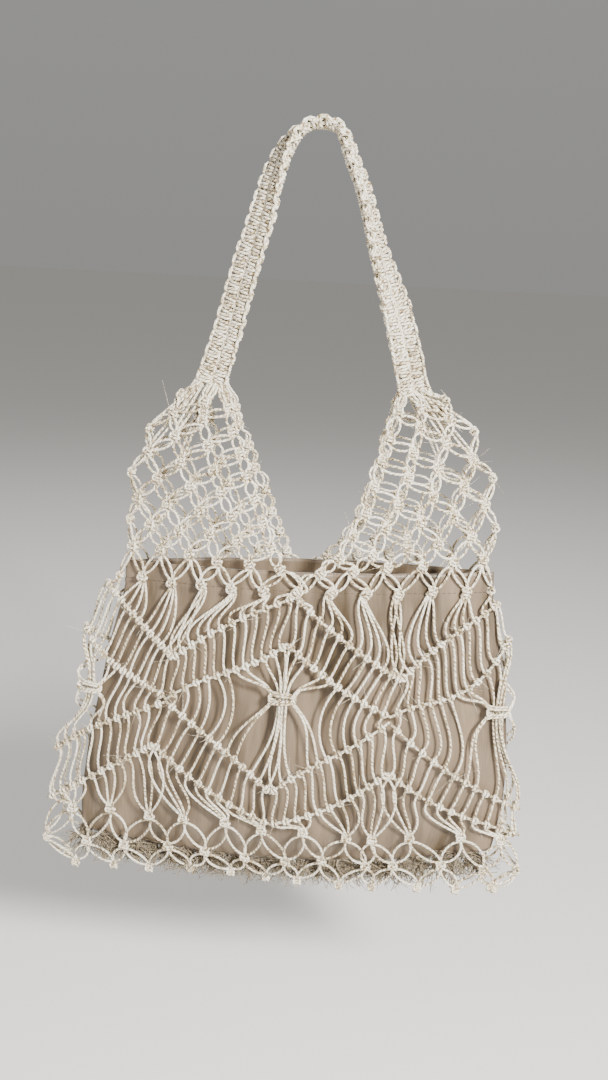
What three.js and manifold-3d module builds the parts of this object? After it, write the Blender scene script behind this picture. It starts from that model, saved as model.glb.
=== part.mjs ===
// A knotted straw-twine shoulder bag with a cloth pouch inside, as it hangs by its strap.
// Millimetres, +Z up, front facing -Y. The origin is the hanging point, on the underside of the strap's top.
// Round the bag, places count the 24 net knots of one row: 0 is the front's middle, 6 the right side,
// 12 the back's middle and 18 the left side.
import * as THREE from "three";
import { mergeVertices } from "three/addons/utils/BufferGeometryUtils.js";
import Module from "manifold-3d";

const wasm = await Module();
wasm.setup();

// Strap
const STRAP_WIDTH = 24;
const STRAP_THICKNESS = 8;
const STRAP_DROP = 169;
const STRAP_SPREAD = 145;
const STRAP_KNOT_PITCH = 9.5;
const STRAP_SCALLOP = 0.8;
// Net
const NET_THICKNESS = 3;
const KNOT_REACH = 3.6;
const KNOT_RISE = 1.6;
const NECK_DROP = 324;
const NECK_WIDTH = 290;
const BODY_HEIGHT = 243;
const BASE_WIDTH = 376;
const BAG_DEPTH = 68;
const BASE_LEAN = 9;
// Knotted ridges
const RIDGE_WIDTH = 6;
const RIDGE_RISE = 1.8;
const SHEAF_KNOT_RISE = 4.5;
const SHEAF_GAP = 0.8;
// Pouch and frayed ends
const POUCH_WALL = 1.6;
const POUCH_FOLD_DEPTH = 1.8;
const HEM_WALL = 3;
const HEM_HEIGHT = 18;
const HEM_ABOVE_NECK = 13;
const POUCH_ABOVE_SEAM = 26;
const FRAYED_LENGTH = 17;
const FRAYED_SPACING = 12;
const FRAYED_LOCK_WIDTH = 9.6;
const FRAYED_BAR_THICKNESS = 3;
const FRAYED_BAR_HEIGHT = 7;
const FRAYED_SIDE_ROOM = 52;
// Clearance between pieces that touch
const FIT_GAP = 0.4;

const PLACES = 24;
const QUARTER = PLACES / 4;
const FRONT = new THREE.Vector3(0, -1, 0);
const SHELL = NET_THICKNESS / 2;
// How far apart the neighbours stand that give a surface its way out.
const STEP = { place: 0.2, height: 2, share: 0.01, row: 0.1 };

const TWINE = new THREE.MeshStandardMaterial({ color: 0xd9cdb2, roughness: 0.85 });
const CLOTH = new THREE.MeshStandardMaterial({ color: 0xb79d85, roughness: 0.55 });
const FRAYED = new THREE.MeshStandardMaterial({ color: 0xc4b492, roughness: 0.95 });

const mix = THREE.MathUtils.lerp;

// Smooth reading of one column of a table whose rows rise in the column "at".
function column(rows, name) {
  return (at) => {
    let i = 0;
    while (i < rows.length - 2 && at > rows[i + 1].at) i += 1;
    const [a, b] = [rows[i], rows[i + 1]];
    const slope = (p, q) => (q[name] - p[name]) / (q.at - p.at);
    const here = slope(a, b);
    const before = i > 0 ? (slope(rows[i - 1], a) + here) / 2 : here;
    const after = i < rows.length - 2 ? (here + slope(b, rows[i + 2])) / 2 : here;
    const span = b.at - a.at;
    const t = THREE.MathUtils.clamp((at - a.at) / span, 0, 1);
    const [t2, t3] = [t * t, t * t * t];
    return (
      (2 * t3 - 3 * t2 + 1) * a[name] +
      (t3 - 2 * t2 + t) * span * before +
      (3 * t2 - 2 * t3) * b[name] +
      (t3 - t2) * span * after
    );
  };
}

// The net's sections below the neck. at: share of the body's height; wide: share of the base's width;
// deep: share of the bag's depth; even: how evenly places spread across; square: how flat the faces are;
// lean: share of the base's lean.
const BODY_SECTIONS = [
  { at: 0.0, wide: NECK_WIDTH / BASE_WIDTH, deep: 0.76, even: 0.5, square: 1.0, lean: 0.0 },
  { at: 0.17, wide: 0.87, deep: 0.88, even: 0.7, square: 1.0, lean: 0.25 },
  { at: 0.38, wide: 0.92, deep: 0.98, even: 0.85, square: 1.0, lean: 0.6 },
  { at: 0.56, wide: 0.97, deep: 1.0, even: 0.85, square: 1.0, lean: 0.75 },
  { at: 0.74, wide: 0.99, deep: 0.8, even: 0.85, square: 1.0, lean: 0.9 },
  { at: 0.8, wide: 1.0, deep: 0.67, even: 0.85, square: 1.0, lean: 1.0 },
  { at: 0.92, wide: 1.0, deep: 0.4, even: 0.85, square: 0.8, lean: 1.0 },
  { at: 1.0, wide: 0.99, deep: 0.14, even: 0.85, square: 0.3, lean: 1.0 },
];
const section = Object.fromEntries(
  ["wide", "deep", "even", "square", "lean"].map((name) => [name, column(BODY_SECTIONS, name)]),
);
const levelOf = (z) => (-NECK_DROP - z) / BODY_HEIGHT;
const heightOf = (level) => -NECK_DROP - level * BODY_HEIGHT;

// From 0 at the front's middle to 1 at the right side, 0 at the back's middle and -1 at the left side.
function sideways(place) {
  const turned = THREE.MathUtils.euclideanModulo(place + QUARTER, PLACES) / QUARTER;
  return turned < 2 ? turned - 1 : 3 - turned;
}

// A point of the net's middle sheet at a place round the bag and a height.
function netPoint(place, z) {
  const level = THREE.MathUtils.clamp(levelOf(z), 0, 1);
  const angle = (place / PLACES) * 2 * Math.PI;
  const even = section.even(level);
  const across = (1 - even) * Math.sin(angle) + even * sideways(place);
  const facing = Math.cos(angle);
  const flat = Math.sign(facing) * Math.abs(facing) ** section.square(level);
  return new THREE.Vector3(
    (BASE_WIDTH / 2) * section.wide(level) * across - BASE_LEAN * section.lean(level),
    -(BAG_DEPTH / 2) * section.deep(level) * flat,
    z,
  );
}

// The way out of a sheet at (u, v), from its neighbours in both directions.
function outward(surface, u, v, du, dv) {
  const along = surface(u + du, v).sub(surface(u - du, v));
  const up = surface(u, v + dv).sub(surface(u, v - dv));
  return along.cross(up).normalize();
}
const netNormal = (place, z) => outward(netPoint, place, z, STEP.place, STEP.height);

// Collects the corners and faces of a sheet, and thickens it into one closed solid.
class Sheet {
  constructor() {
    this.corners = [];
    this.faces = [];
  }
  // rise is how far the outer face stands from the middle sheet; the inner face stands at the shell's half.
  corner(point, normal, rise = SHELL) {
    const outer = point.clone().addScaledVector(normal, rise);
    const inner = point.clone().addScaledVector(normal, -SHELL);
    return this.corners.push({ outer, inner }) - 1;
  }
  // A flat fan over three or more corners, given counter-clockwise from outside.
  face(...ring) {
    for (let i = 1; i < ring.length - 1; i += 1) this.faces.push([ring[0], ring[i], ring[i + 1]]);
  }
  geometry() {
    const count = this.corners.length;
    const once = new Map();
    const index = [];
    for (const [a, b, c] of this.faces) {
      index.push(a, b, c, a + count, c + count, b + count);
      for (const [p, q] of [[a, b], [b, c], [c, a]]) {
        if (!once.delete(`${q},${p}`)) once.set(`${p},${q}`, [p, q]);
      }
    }
    const points = [...this.corners.map((c) => c.outer), ...this.corners.map((c) => c.inner)];
    for (const [p, q] of once.values()) {
      const shorter = points[p].distanceTo(points[q + count]) < points[q].distanceTo(points[p + count]);
      if (shorter) index.push(q, p, q + count, p, p + count, q + count);
      else index.push(q, p, p + count, q, p + count, q + count);
    }
    return new THREE.BufferGeometry().setFromPoints(points).setIndex(index);
  }
}

function meshOf(name, geometry, material) {
  geometry.computeVertexNormals();
  const mesh = new THREE.Mesh(geometry, material);
  mesh.name = name;
  return mesh;
}

// The strap's middle line. across: share of half its spread; down: share of its drop;
// turn: degrees its face turns from the front towards the outside of the loop.
const STRAP_LINE = [
  { across: -1.0, down: 1.0, turn: 0 },
  { across: -0.84, down: 0.78, turn: 18 },
  { across: -0.71, down: 0.56, turn: 42 },
  { across: -0.565, down: 0.343, turn: 56 },
  { across: -0.49, down: 0.213, turn: 66 },
  { across: -0.375, down: 0.083, turn: 78 },
  { across: -0.25, down: 0.01, turn: 86 },
  { across: -0.125, down: -0.019, turn: 90 },
  { across: 0.0, down: -STRAP_THICKNESS / 2 / STRAP_DROP, turn: 90 },
  { across: 0.11, down: -0.014, turn: 90 },
  { across: 0.19, down: 0.022, turn: 86 },
  { across: 0.26, down: 0.09, turn: 82 },
  { across: 0.372, down: 0.195, turn: 79 },
  { across: 0.469, down: 0.32, turn: 76 },
  { across: 0.56, down: 0.45, turn: 67 },
  { across: 0.669, down: 0.574, turn: 50 },
  { across: 0.82, down: 0.746, turn: 24 },
  { across: 1.0, down: 1.0, turn: 0 },
];
const strapCurve = new THREE.CatmullRomCurve3(
  STRAP_LINE.map((p) => new THREE.Vector3((p.across * STRAP_SPREAD) / 2, 0, -p.down * STRAP_DROP)),
  false,
  "centripetal",
);
const strapTurn = column(STRAP_LINE.map((p, i) => ({ at: i, turn: p.turn })), "turn");

// The strap's frame at a share of its rows: where it is, which way it runs, faces and spreads.
function strapFrame(share) {
  const middle = strapCurve.getPoint(share);
  const along = strapCurve.getTangent(share);
  const outer = along.clone().cross(new THREE.Vector3(0, 1, 0)).normalize();
  const turn = THREE.MathUtils.degToRad(strapTurn(share * (STRAP_LINE.length - 1)));
  const face = FRONT.clone().multiplyScalar(Math.cos(turn)).addScaledVector(outer, Math.sin(turn));
  const spread = along.clone().cross(face);
  return { middle, along, face, spread };
}

// The strap's foot on the left (-1) or the right (1), where its spread points to the bag's middle.
const strapEnd = (side) => strapFrame(side < 0 ? 0 : 1);

// The strap's section, as shares of half its width and thickness: two rounded columns of knots.
const STRAP_SECTION = [
  [1, 0], [0.8, 1], [0.2, 1], [0, 0.7], [-0.2, 1], [-0.8, 1],
  [-1, 0], [-0.8, -1], [-0.2, -1], [0, -0.7], [0.2, -1], [0.8, -1],
];

// The strap: its section carried along the line, with two sections to a knot, one full and one drawn in.
function strap() {
  const knots = Math.round(strapCurve.getLength() / STRAP_KNOT_PITCH);
  const steps = 2 * knots;
  const sides = STRAP_SECTION.length;
  const points = [];
  const index = [];
  for (let i = 0; i <= steps; i += 1) {
    const { middle, face, spread } = strapFrame(strapCurve.getUtoTmapping(i / steps));
    const half = STRAP_WIDTH / 2 - (i % 2 ? 0 : STRAP_SCALLOP);
    for (const [a, b] of STRAP_SECTION) {
      points.push(middle.clone().addScaledVector(spread, a * half)
        .addScaledVector(face, (b * STRAP_THICKNESS) / 2));
    }
  }
  for (let i = 0; i < steps; i += 1) {
    for (let k = 0; k < sides; k += 1) {
      const [a, b] = [i * sides + k, i * sides + ((k + 1) % sides)];
      index.push(a, a + sides, b, b, a + sides, b + sides);
    }
  }
  const outline = STRAP_SECTION.map(([a, b]) => new THREE.Vector2(a * STRAP_WIDTH, b * STRAP_THICKNESS));
  for (const [a, b, c] of THREE.ShapeUtils.triangulateShape(outline, [])) {
    const last = steps * sides;
    index.push(a, b, c, a + last, c + last, b + last);
  }
  return new THREE.BufferGeometry().setFromPoints(points).setIndex(index);
}

// The rows of knots of a shoulder net, from the pouch's mouth up to the strap. at: row; inner and outer
// columns are shares of the way from the neck to the strap's end, along the neck edge and along the side.
const SHOULDER_ROWS = [
  { at: 0, innerX: 0.0, innerZ: 0.0, outerX: 0.0, outerZ: 0.0, thin: 0.0 },
  { at: 1, innerX: 0.23, innerZ: 0.106, outerX: 0.05, outerZ: 0.13, thin: 0.04 },
  { at: 2, innerX: 0.39, innerZ: 0.19, outerX: 0.08, outerZ: 0.26, thin: 0.085 },
  { at: 3, innerX: 0.54, innerZ: 0.297, outerX: 0.115, outerZ: 0.385, thin: 0.15 },
  { at: 4, innerX: 0.65, innerZ: 0.42, outerX: 0.165, outerZ: 0.51, thin: 0.21 },
  { at: 5, innerX: 0.755, innerZ: 0.53, outerX: 0.26, outerZ: 0.63, thin: 0.3 },
  { at: 6, innerX: 0.84, innerZ: 0.64, outerX: 0.41, outerZ: 0.74, thin: 0.42 },
  { at: 7, innerX: 0.92, innerZ: 0.76, outerX: 0.59, outerZ: 0.84, thin: 0.58 },
  { at: 8, innerX: 0.97, innerZ: 0.88, outerX: 0.81, outerZ: 0.925, thin: 0.78 },
  { at: 9, innerX: 1.0, innerZ: 1.0, outerX: 1.0, outerZ: 1.0, thin: 1.0 },
];
const shoulder = Object.fromEntries(
  ["innerX", "innerZ", "outerX", "outerZ", "thin"].map((name) => [name, column(SHOULDER_ROWS, name)]),
);
const TOP_ROW = SHOULDER_ROWS.length - 2;
const OPEN_ROWS = 5; // rows of open gaps; above them the strands lie side by side
const SHOULDER_EVEN = 0.5;

// A shoulder net as a surface: row counts up from the neck, and share runs from the front's neck edge (0)
// round the side (0.5) to the back's neck edge (1).
function shoulderSurface(side) {
  const end = strapEnd(side);
  const foot = end.middle.clone().addScaledVector(end.along, side * FIT_GAP);
  const inner = foot.clone().addScaledVector(end.spread, STRAP_WIDTH / 2 - SHELL);
  const outer = foot.clone().addScaledVector(end.spread, SHELL - STRAP_WIDTH / 2);
  const neckHalf = KNOT_REACH + FIT_GAP / 2;
  const mouthDepth = (BAG_DEPTH / 2) * section.deep(0);
  const topDepth = STRAP_THICKNESS / 2 - SHELL;
  return (share, row) => {
    const round = 1 - Math.abs(1 - 2 * share);
    const reach = (1 - SHOULDER_EVEN) * Math.sin(Math.PI * share) + SHOULDER_EVEN * round;
    const x = mix(
      mix(side * neckHalf, inner.x, shoulder.innerX(row)),
      mix((side * NECK_WIDTH) / 2, outer.x, shoulder.outerX(row)),
      reach,
    );
    const z = mix(
      mix(-NECK_DROP, inner.z, shoulder.innerZ(row)),
      mix(-NECK_DROP, outer.z, shoulder.outerZ(row)),
      round,
    );
    const halfDepth = mix(mouthDepth, topDepth, shoulder.thin(row));
    return new THREE.Vector3(x, -halfDepth * Math.cos(Math.PI * share), z);
  };
}

// Adds one knot to a sheet: a raised middle and four corners (up, right, down, left, seen from outside).
function addKnot(sheet, middle, normal, up) {
  const right = up.clone().cross(normal).normalize();
  const lift = normal.clone().cross(right);
  const peak = sheet.corner(middle, normal, SHELL + KNOT_RISE);
  const [n, e, s, w] = [lift, right, lift.clone().negate(), right.clone().negate()].map((way) =>
    sheet.corner(middle.clone().addScaledVector(way, KNOT_REACH), normal));
  for (const [a, b] of [[e, n], [n, w], [w, s], [s, e]]) sheet.face(peak, a, b);
  return { n, e, s, w };
}

// One shoulder net: knots in rows that lose a knot each row, joined by pairs of strands.
function shoulderNet(side) {
  const surface = shoulderSurface(side);
  const sheet = new Sheet();
  const shareOf = (row, i) => {
    const gaps = PLACES / 2 - row;
    return side > 0 ? i / gaps : 1 - i / gaps;
  };
  const rows = [];
  for (let row = 0; row <= TOP_ROW; row += 1) {
    rows.push([]);
    for (let i = 0; i <= PLACES / 2 - row; i += 1) {
      const share = shareOf(row, i);
      const middle = surface(share, row);
      const way = outward(surface, share, row, side * STEP.share, STEP.row);
      rows[row].push(addKnot(sheet, middle, way, surface(share, row + STEP.row).sub(middle)));
    }
  }
  for (let row = 0; row < TOP_ROW; row += 1) {
    rows[row + 1].forEach((top, i) => {
      const [left, right] = [rows[row][i], rows[row][i + 1]];
      sheet.face(left.e, top.s, top.w, left.n);
      sheet.face(right.n, top.e, top.s, right.w);
      if (row >= OPEN_ROWS && row + 2 <= TOP_ROW && i + 1 < rows[row + 1].length) {
        sheet.face(rows[row][i + 1].n, rows[row + 1][i + 1].w, rows[row + 2][i].s, top.e);
      }
    });
  }
  addCollar(sheet, rows, surface, side, shareOf);
  return sheet.geometry();
}

// The strands gathered under the strap: a closed sheet from the top row of knots up to the strap's end.
function addCollar(sheet, rows, surface, side, shareOf) {
  const top = rows[TOP_ROW].map((knot, i) => {
    const share = shareOf(TOP_ROW, i);
    const way = outward(surface, share, TOP_ROW + 1, side * STEP.share, STEP.row);
    way.projectOnPlane(strapEnd(side).along).normalize();
    return sheet.corner(surface(share, TOP_ROW + 1), way);
  });
  for (let i = 0; i + 1 < top.length; i += 1) {
    const [left, right] = [rows[TOP_ROW][i], rows[TOP_ROW][i + 1]];
    sheet.face(left.e, right.w, right.n, top[i + 1], top[i], left.n);
    sheet.face(rows[TOP_ROW - 1][i + 1].n, right.w, left.e);
  }
}

// Heights of the ridges at the bag's middles and sides (peak) and at the four crossings between them,
// as levels of the body.
const UPPER_RIDGE = { middle: 0.0, crossing: 0.24 };
const DIAMOND_TOP = { middle: 0.165, crossing: 0.387 };
const DIAMOND_BOTTOM = { middle: 0.664, crossing: 0.387 };
const LOWER_RIDGE = { middle: 0.777, crossing: 0.556 };
const ARM_STEPS = [0, 0.25, 0.5, 0.75, 0.9]; // shares of the way from a middle to a crossing
const ARM = QUARTER / 2; // places from a middle to a crossing
// Half a ridge's height, measured straight up through an arm that slopes.
const ARM_RISE = (DIAMOND_TOP.crossing - DIAMOND_TOP.middle) * BODY_HEIGHT;
const RIDGE_HALF_HEIGHT = (RIDGE_WIDTH / 2) * Math.hypot(1, ARM_RISE / (BASE_WIDTH / 4));

// The places round the bag where a ridge's corners stand, with how far each is towards a crossing.
function ridgeStations() {
  const stations = [];
  for (let arm = 0; arm < PLACES / ARM; arm += 1) {
    const steps = arm % 2 ? [1, ...ARM_STEPS.slice(1).reverse()] : ARM_STEPS;
    for (const step of steps) {
      const along = arm % 2 ? 1 - step : step;
      stations.push({ place: (arm + along) * ARM, towards: step });
    }
  }
  return stations;
}

// Adds a ridge to a sheet: a closed zigzag band with a raised middle line.
function addRidge(sheet, { middle, crossing }, shift) {
  const rails = ridgeStations().map(({ place, towards }) => {
    const z = heightOf(mix(middle, crossing, towards)) + shift;
    const corner = (dz, rise) => {
      const at = netPoint(place, z + dz);
      return sheet.corner(at, netNormal(place, z + dz), rise);
    };
    return {
      towards,
      top: corner(RIDGE_HALF_HEIGHT, SHELL),
      middle: corner(0, SHELL + RIDGE_RISE),
      bottom: corner(-RIDGE_HALF_HEIGHT, SHELL),
    };
  });
  rails.forEach((a, i) => {
    const b = rails[(i + 1) % rails.length];
    sheet.face(a.bottom, b.bottom, b.middle, a.middle);
    sheet.face(a.middle, b.middle, b.top, a.top);
  });
  return rails;
}

function ridge(levels, shift) {
  const sheet = new Sheet();
  addRidge(sheet, levels, shift);
  return sheet.geometry();
}

// The ridges that enclose the four diamonds, knotted together where they cross.
function diamondRidge() {
  const sheet = new Sheet();
  const upper = addRidge(sheet, DIAMOND_TOP, RIDGE_HALF_HEIGHT);
  const lower = addRidge(sheet, DIAMOND_BOTTOM, -RIDGE_HALF_HEIGHT);
  upper.forEach((rail, i) => {
    if (rail.towards !== 1) return;
    const count = upper.length;
    const [before, after] = [(i + count - 1) % count, (i + 1) % count];
    const joint = rail.bottom;
    sheet.faces = sheet.faces.map((face) => face.map((c) => (c === lower[i].top ? joint : c)));
    sheet.face(lower[before].top, joint, upper[before].bottom);
    sheet.face(lower[after].top, upper[after].bottom, joint);
  });
  return sheet.geometry();
}

// A sheaf of strands drawn together by one knot, inside a diamond. at: share of the way down the open
// diamond; half: half its width in places; rise: share of the sheaf knot's rise.
const SHEAF_ROWS = [
  { at: 0.0, half: 0.75, rise: 0.0 },
  { at: 0.16, half: 0.55, rise: 0.1 },
  { at: 0.29, half: 0.26, rise: 0.5 },
  { at: 0.35, half: 0.34, rise: 1.0 },
  { at: 0.41, half: 0.26, rise: 0.5 },
  { at: 0.53, half: 0.33, rise: 0.25 },
  { at: 0.66, half: 0.42, rise: 0.15 },
  { at: 0.83, half: 0.58, rise: 0.05 },
  { at: 1.0, half: 0.75, rise: 0.0 },
];
const SHEAF_EDGE_RISE = 1 / 3; // how far a sheaf's sides rise, as a share of its middle

// The top and bottom of a sheaf follow the ridges, which slope away from the diamond's middle.
function sheaf(place) {
  const sheet = new Sheet();
  const edge = ({ middle, crossing }, off) => heightOf(mix(middle, crossing, off / ARM));
  const rows = SHEAF_ROWS.map(({ at, half, rise }) =>
    [-half, 0, half].map((off) => {
      const top = edge(DIAMOND_TOP, Math.abs(off)) - SHEAF_GAP;
      const z = mix(top, edge(DIAMOND_BOTTOM, Math.abs(off)) + SHEAF_GAP, at);
      const out = SHELL + rise * SHEAF_KNOT_RISE * (off === 0 ? 1 : SHEAF_EDGE_RISE);
      return sheet.corner(netPoint(place + off, z), netNormal(place + off, z), out);
    }));
  for (let i = 0; i + 1 < rows.length; i += 1) {
    for (let k = 0; k < 2; k += 1) {
      sheet.face(rows[i + 1][k], rows[i + 1][k + 1], rows[i][k + 1], rows[i][k]);
    }
  }
  return sheet.geometry();
}

// Rows of knots of the base net, as levels of the body; odd rows stand half a place round from the others.
const BASE_ROWS = [0.8, 0.92, 1.0];

function baseNet() {
  const sheet = new Sheet();
  const rows = BASE_ROWS.map((level, row) => {
    const knots = [];
    for (let i = 0; i < PLACES; i += 1) {
      const place = i + (row % 2 ? 0 : 0.5);
      const z = heightOf(level);
      knots.push(addKnot(sheet, netPoint(place, z), netNormal(place, z), new THREE.Vector3(0, 0, 1)));
    }
    return knots;
  });
  for (let row = 0; row + 1 < rows.length; row += 1) {
    for (let i = 0; i < PLACES; i += 1) {
      const low = rows[row + 1][i];
      const before = row % 2 ? i : (i + PLACES - 1) % PLACES;
      const left = rows[row][before];
      const right = rows[row][(before + 1) % PLACES];
      sheet.face(low.w, low.n, left.e, left.s);
      sheet.face(low.n, low.e, right.s, right.w);
    }
  }
  return sheet.geometry();
}

// A closed mesh as a manifold-3d solid, with its shared corners merged.
function solidOf(geometry) {
  const plain = geometry.clone();
  plain.deleteAttribute("normal");
  plain.deleteAttribute("uv");
  const merged = mergeVertices(plain, 1e-3);
  return new wasm.Manifold(new wasm.Mesh({
    numProp: 3,
    vertProperties: merged.attributes.position.array,
    triVerts: new Uint32Array(merged.index.array),
  }));
}

function geometryOf(solid) {
  const mesh = solid.getMesh();
  return new THREE.BufferGeometry()
    .setAttribute("position", new THREE.BufferAttribute(mesh.vertProperties, 3))
    .setIndex(new THREE.BufferAttribute(mesh.triVerts, 1));
}

const LOCK_SIDES = 5;
const LOCK_TAPER = 0.9; // a lock's foot, as a share of its tip
const LOCK_LEAN = 0.1; // radians out of the bar's plane, to either side in turn
const LOCK_OFFSET = 0.6; // how far a lock's middle stands off that plane, as a share of its radius

// The frayed ends inside the base seam: a bar of twine with locks that stand up from it.
function frayedEnds() {
  const seam = heightOf(1);
  const middle = netPoint(0, seam).x;
  const length = BASE_WIDTH - 2 * FRAYED_SIDE_ROOM;
  const radius = FRAYED_BAR_THICKNESS / 2;
  const bar = new THREE.BoxGeometry(length, FRAYED_BAR_THICKNESS, FRAYED_BAR_HEIGHT);
  let solid = solidOf(bar.translate(middle, 0, seam));
  const locks = Math.floor(length / FRAYED_SPACING);
  for (let i = 0; i < locks; i += 1) {
    const side = i % 2 ? 1 : -1;
    const lock = new THREE.CylinderGeometry(radius, radius * LOCK_TAPER, FRAYED_LENGTH, LOCK_SIDES);
    lock.scale(FRAYED_LOCK_WIDTH / FRAYED_BAR_THICKNESS, 1, 1).rotateX(Math.PI / 2 - side * LOCK_LEAN);
    const x = middle + (i + 0.5 - locks / 2) * FRAYED_SPACING;
    lock.translate(x, side * radius * LOCK_OFFSET, seam + FRAYED_LENGTH / 2);
    solid = solid.add(solidOf(lock));
  }
  return geometryOf(solid);
}

// The pouch's sections. at: share of its height from the mouth down; wide: share of the base's width;
// deep: share of the room inside the net; fold: share of the fold depth. The last row is its floor's outside.
const POUCH_ROWS = [
  { at: 0.0, wide: 0.72, deep: 0.94, fold: 0.5 },
  { at: 0.06, wide: 0.725, deep: 0.985, fold: 0.4 },
  { at: 0.12, wide: 0.73, deep: 0.985, fold: 0.7 },
  { at: 0.28, wide: 0.76, deep: 0.99, fold: 1.0 },
  { at: 0.46, wide: 0.8, deep: 0.99, fold: 1.0 },
  { at: 0.64, wide: 0.84, deep: 0.99, fold: 1.0 },
  { at: 0.8, wide: 0.87, deep: 0.99, fold: 0.8 },
  { at: 0.9, wide: 0.88, deep: 0.99, fold: 0.5 },
  { at: 1.0, wide: 0.87, deep: 0.36, fold: 0.0 },
];
const POUCH_SIDES = 36;
const POUCH_FOLDS = 9;
const POUCH_EVEN = 0.8; // how evenly the sides of the ring spread across
const FLOOR_ROUNDING = 0.22; // how much fuller the floor is on its inside

// A ring of the pouch's wall, drawn in from its outside by the given amount.
function pouchRing({ at, wide, deep, fold }, inset) {
  const top = -NECK_DROP + HEM_ABOVE_NECK;
  const z = mix(top, heightOf(1) + POUCH_ABOVE_SEAM, at);
  const level = THREE.MathUtils.clamp(levelOf(z), 0, 1);
  const halfWidth = (BASE_WIDTH / 2) * wide - inset;
  const room = (BAG_DEPTH / 2) * section.deep(level) - SHELL - FIT_GAP;
  const ring = [];
  for (let i = 0; i < POUCH_SIDES; i += 1) {
    const share = i / POUCH_SIDES;
    const angle = share * 2 * Math.PI;
    const across = (1 - POUCH_EVEN) * Math.sin(angle) + POUCH_EVEN * sideways(share * PLACES);
    const folded = (1 - Math.cos(POUCH_FOLDS * angle)) / 2;
    const dip = fold * POUCH_FOLD_DEPTH * folded * Math.abs(Math.sin(angle));
    const halfDepth = room * deep - inset - dip;
    ring.push(new THREE.Vector3(
      halfWidth * across - BASE_LEAN * section.lean(level), -halfDepth * Math.cos(angle), z));
  }
  return ring;
}

// The pouch: an outer skin down to its closed base, then an inner skin back up, thicker along the hem.
function pouch() {
  const height = BODY_HEIGHT - POUCH_ABOVE_SEAM + HEM_ABOVE_NECK;
  const hem = HEM_HEIGHT / height;
  const rings = POUCH_ROWS.map((row) => pouchRing(row, 0));
  const floor = POUCH_ROWS.at(-1);
  const inside = { ...floor, at: 1 - POUCH_WALL / height, deep: mix(floor.deep, 1, FLOOR_ROUNDING) };
  for (const row of [inside, ...POUCH_ROWS.slice(0, -1).reverse()]) {
    rings.push(pouchRing(row, row.at < hem ? HEM_WALL : POUCH_WALL));
  }
  const index = [];
  const at = (ring, side) => ring * POUCH_SIDES + (side % POUCH_SIDES);
  const under = POUCH_ROWS.length - 1;
  for (let r = 0; r < rings.length; r += 1) {
    const next = (r + 1) % rings.length;
    for (let i = 0; i < POUCH_SIDES && r !== under; i += 1) {
      index.push(at(r, i), at(next, i), at(next, i + 1), at(r, i), at(next, i + 1), at(r, i + 1));
    }
  }
  // The floor's two sides are strips from front to back, laid from the right end to the left one.
  const corner = (ring, i) => at(ring, i + POUCH_SIDES + POUCH_SIDES / 4);
  for (let i = 0; i < POUCH_SIDES / 2; i += 1) {
    for (const ring of [under, under + 1]) {
      const [a, b, c, d] = [i, i + 1, -i - 1, -i].map((side) => corner(ring, side));
      for (const [p, q, r] of [[a, b, c], [a, c, d]]) {
        const real = p !== q && q !== r && r !== p;
        if (real) index.push(p, ...(ring === under ? [r, q] : [q, r]));
      }
    }
  }
  return new THREE.BufferGeometry().setFromPoints(rings.flat()).setIndex(index);
}

const bag = new THREE.Group();
bag.add(
  meshOf("handle_strap", strap(), TWINE),
  meshOf("shoulder_net_left", shoulderNet(-1), TWINE),
  meshOf("shoulder_net_right", shoulderNet(1), TWINE),
  meshOf("upper_ridge", ridge(UPPER_RIDGE, -KNOT_REACH - FIT_GAP - RIDGE_HALF_HEIGHT), TWINE),
  meshOf("diamond_ridge", diamondRidge(), TWINE),
  meshOf("lower_ridge", ridge(LOWER_RIDGE, 0), TWINE),
  meshOf("sheaf_front", sheaf(0), TWINE),
  meshOf("sheaf_right", sheaf(QUARTER), TWINE),
  meshOf("sheaf_back", sheaf(2 * QUARTER), TWINE),
  meshOf("sheaf_left", sheaf(3 * QUARTER), TWINE),
  meshOf("base_net", baseNet(), TWINE),
  meshOf("frayed_ends", frayedEnds(), FRAYED),
  meshOf("lining_pouch", pouch(), CLOTH),
);

export default bag;
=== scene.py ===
"""A knotted straw-twine shoulder bag with a cloth pouch inside, hanging by its strap.

Everything is worked out in millimetres, +Z up and the front facing -Y, and turned to metres when a
mesh is made. Round the bag, places count the 24 knots of one row: 0 is the front's middle, 6 the right
side, 12 the back's middle and 18 (or -6) the left side.
"""

import math

import bpy
import numpy as np
from bpy.props import FloatProperty, FloatVectorProperty, IntProperty, PointerProperty
from mathutils import Matrix


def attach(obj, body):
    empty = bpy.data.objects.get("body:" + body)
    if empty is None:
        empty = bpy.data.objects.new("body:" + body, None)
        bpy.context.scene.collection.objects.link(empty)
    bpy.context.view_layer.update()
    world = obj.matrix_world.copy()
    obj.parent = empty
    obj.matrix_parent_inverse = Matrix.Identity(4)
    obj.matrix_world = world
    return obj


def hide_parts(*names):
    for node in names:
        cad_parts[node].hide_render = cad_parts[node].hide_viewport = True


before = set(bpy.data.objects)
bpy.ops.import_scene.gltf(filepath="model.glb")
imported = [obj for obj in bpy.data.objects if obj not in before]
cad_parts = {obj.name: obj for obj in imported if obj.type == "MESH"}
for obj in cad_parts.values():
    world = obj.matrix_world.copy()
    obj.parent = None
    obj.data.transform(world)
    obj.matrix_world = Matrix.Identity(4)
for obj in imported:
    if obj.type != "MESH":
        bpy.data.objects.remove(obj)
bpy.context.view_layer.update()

bl_info = {
    "name": "Knotted Straw Shoulder Bag",
    "version": (1, 0, 0),
    "blender": (4, 5, 0),
    "location": "View3D > Sidebar > Straw Bag",
    "description": "A knotted twine bag with a cloth pouch, built piece by piece",
    "category": "Add Mesh",
}

MM = 0.001
BODY = "root"
FRONT = np.array([0.0, -1.0, 0.0])
UP = np.array([0.0, 0.0, 1.0])

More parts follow.
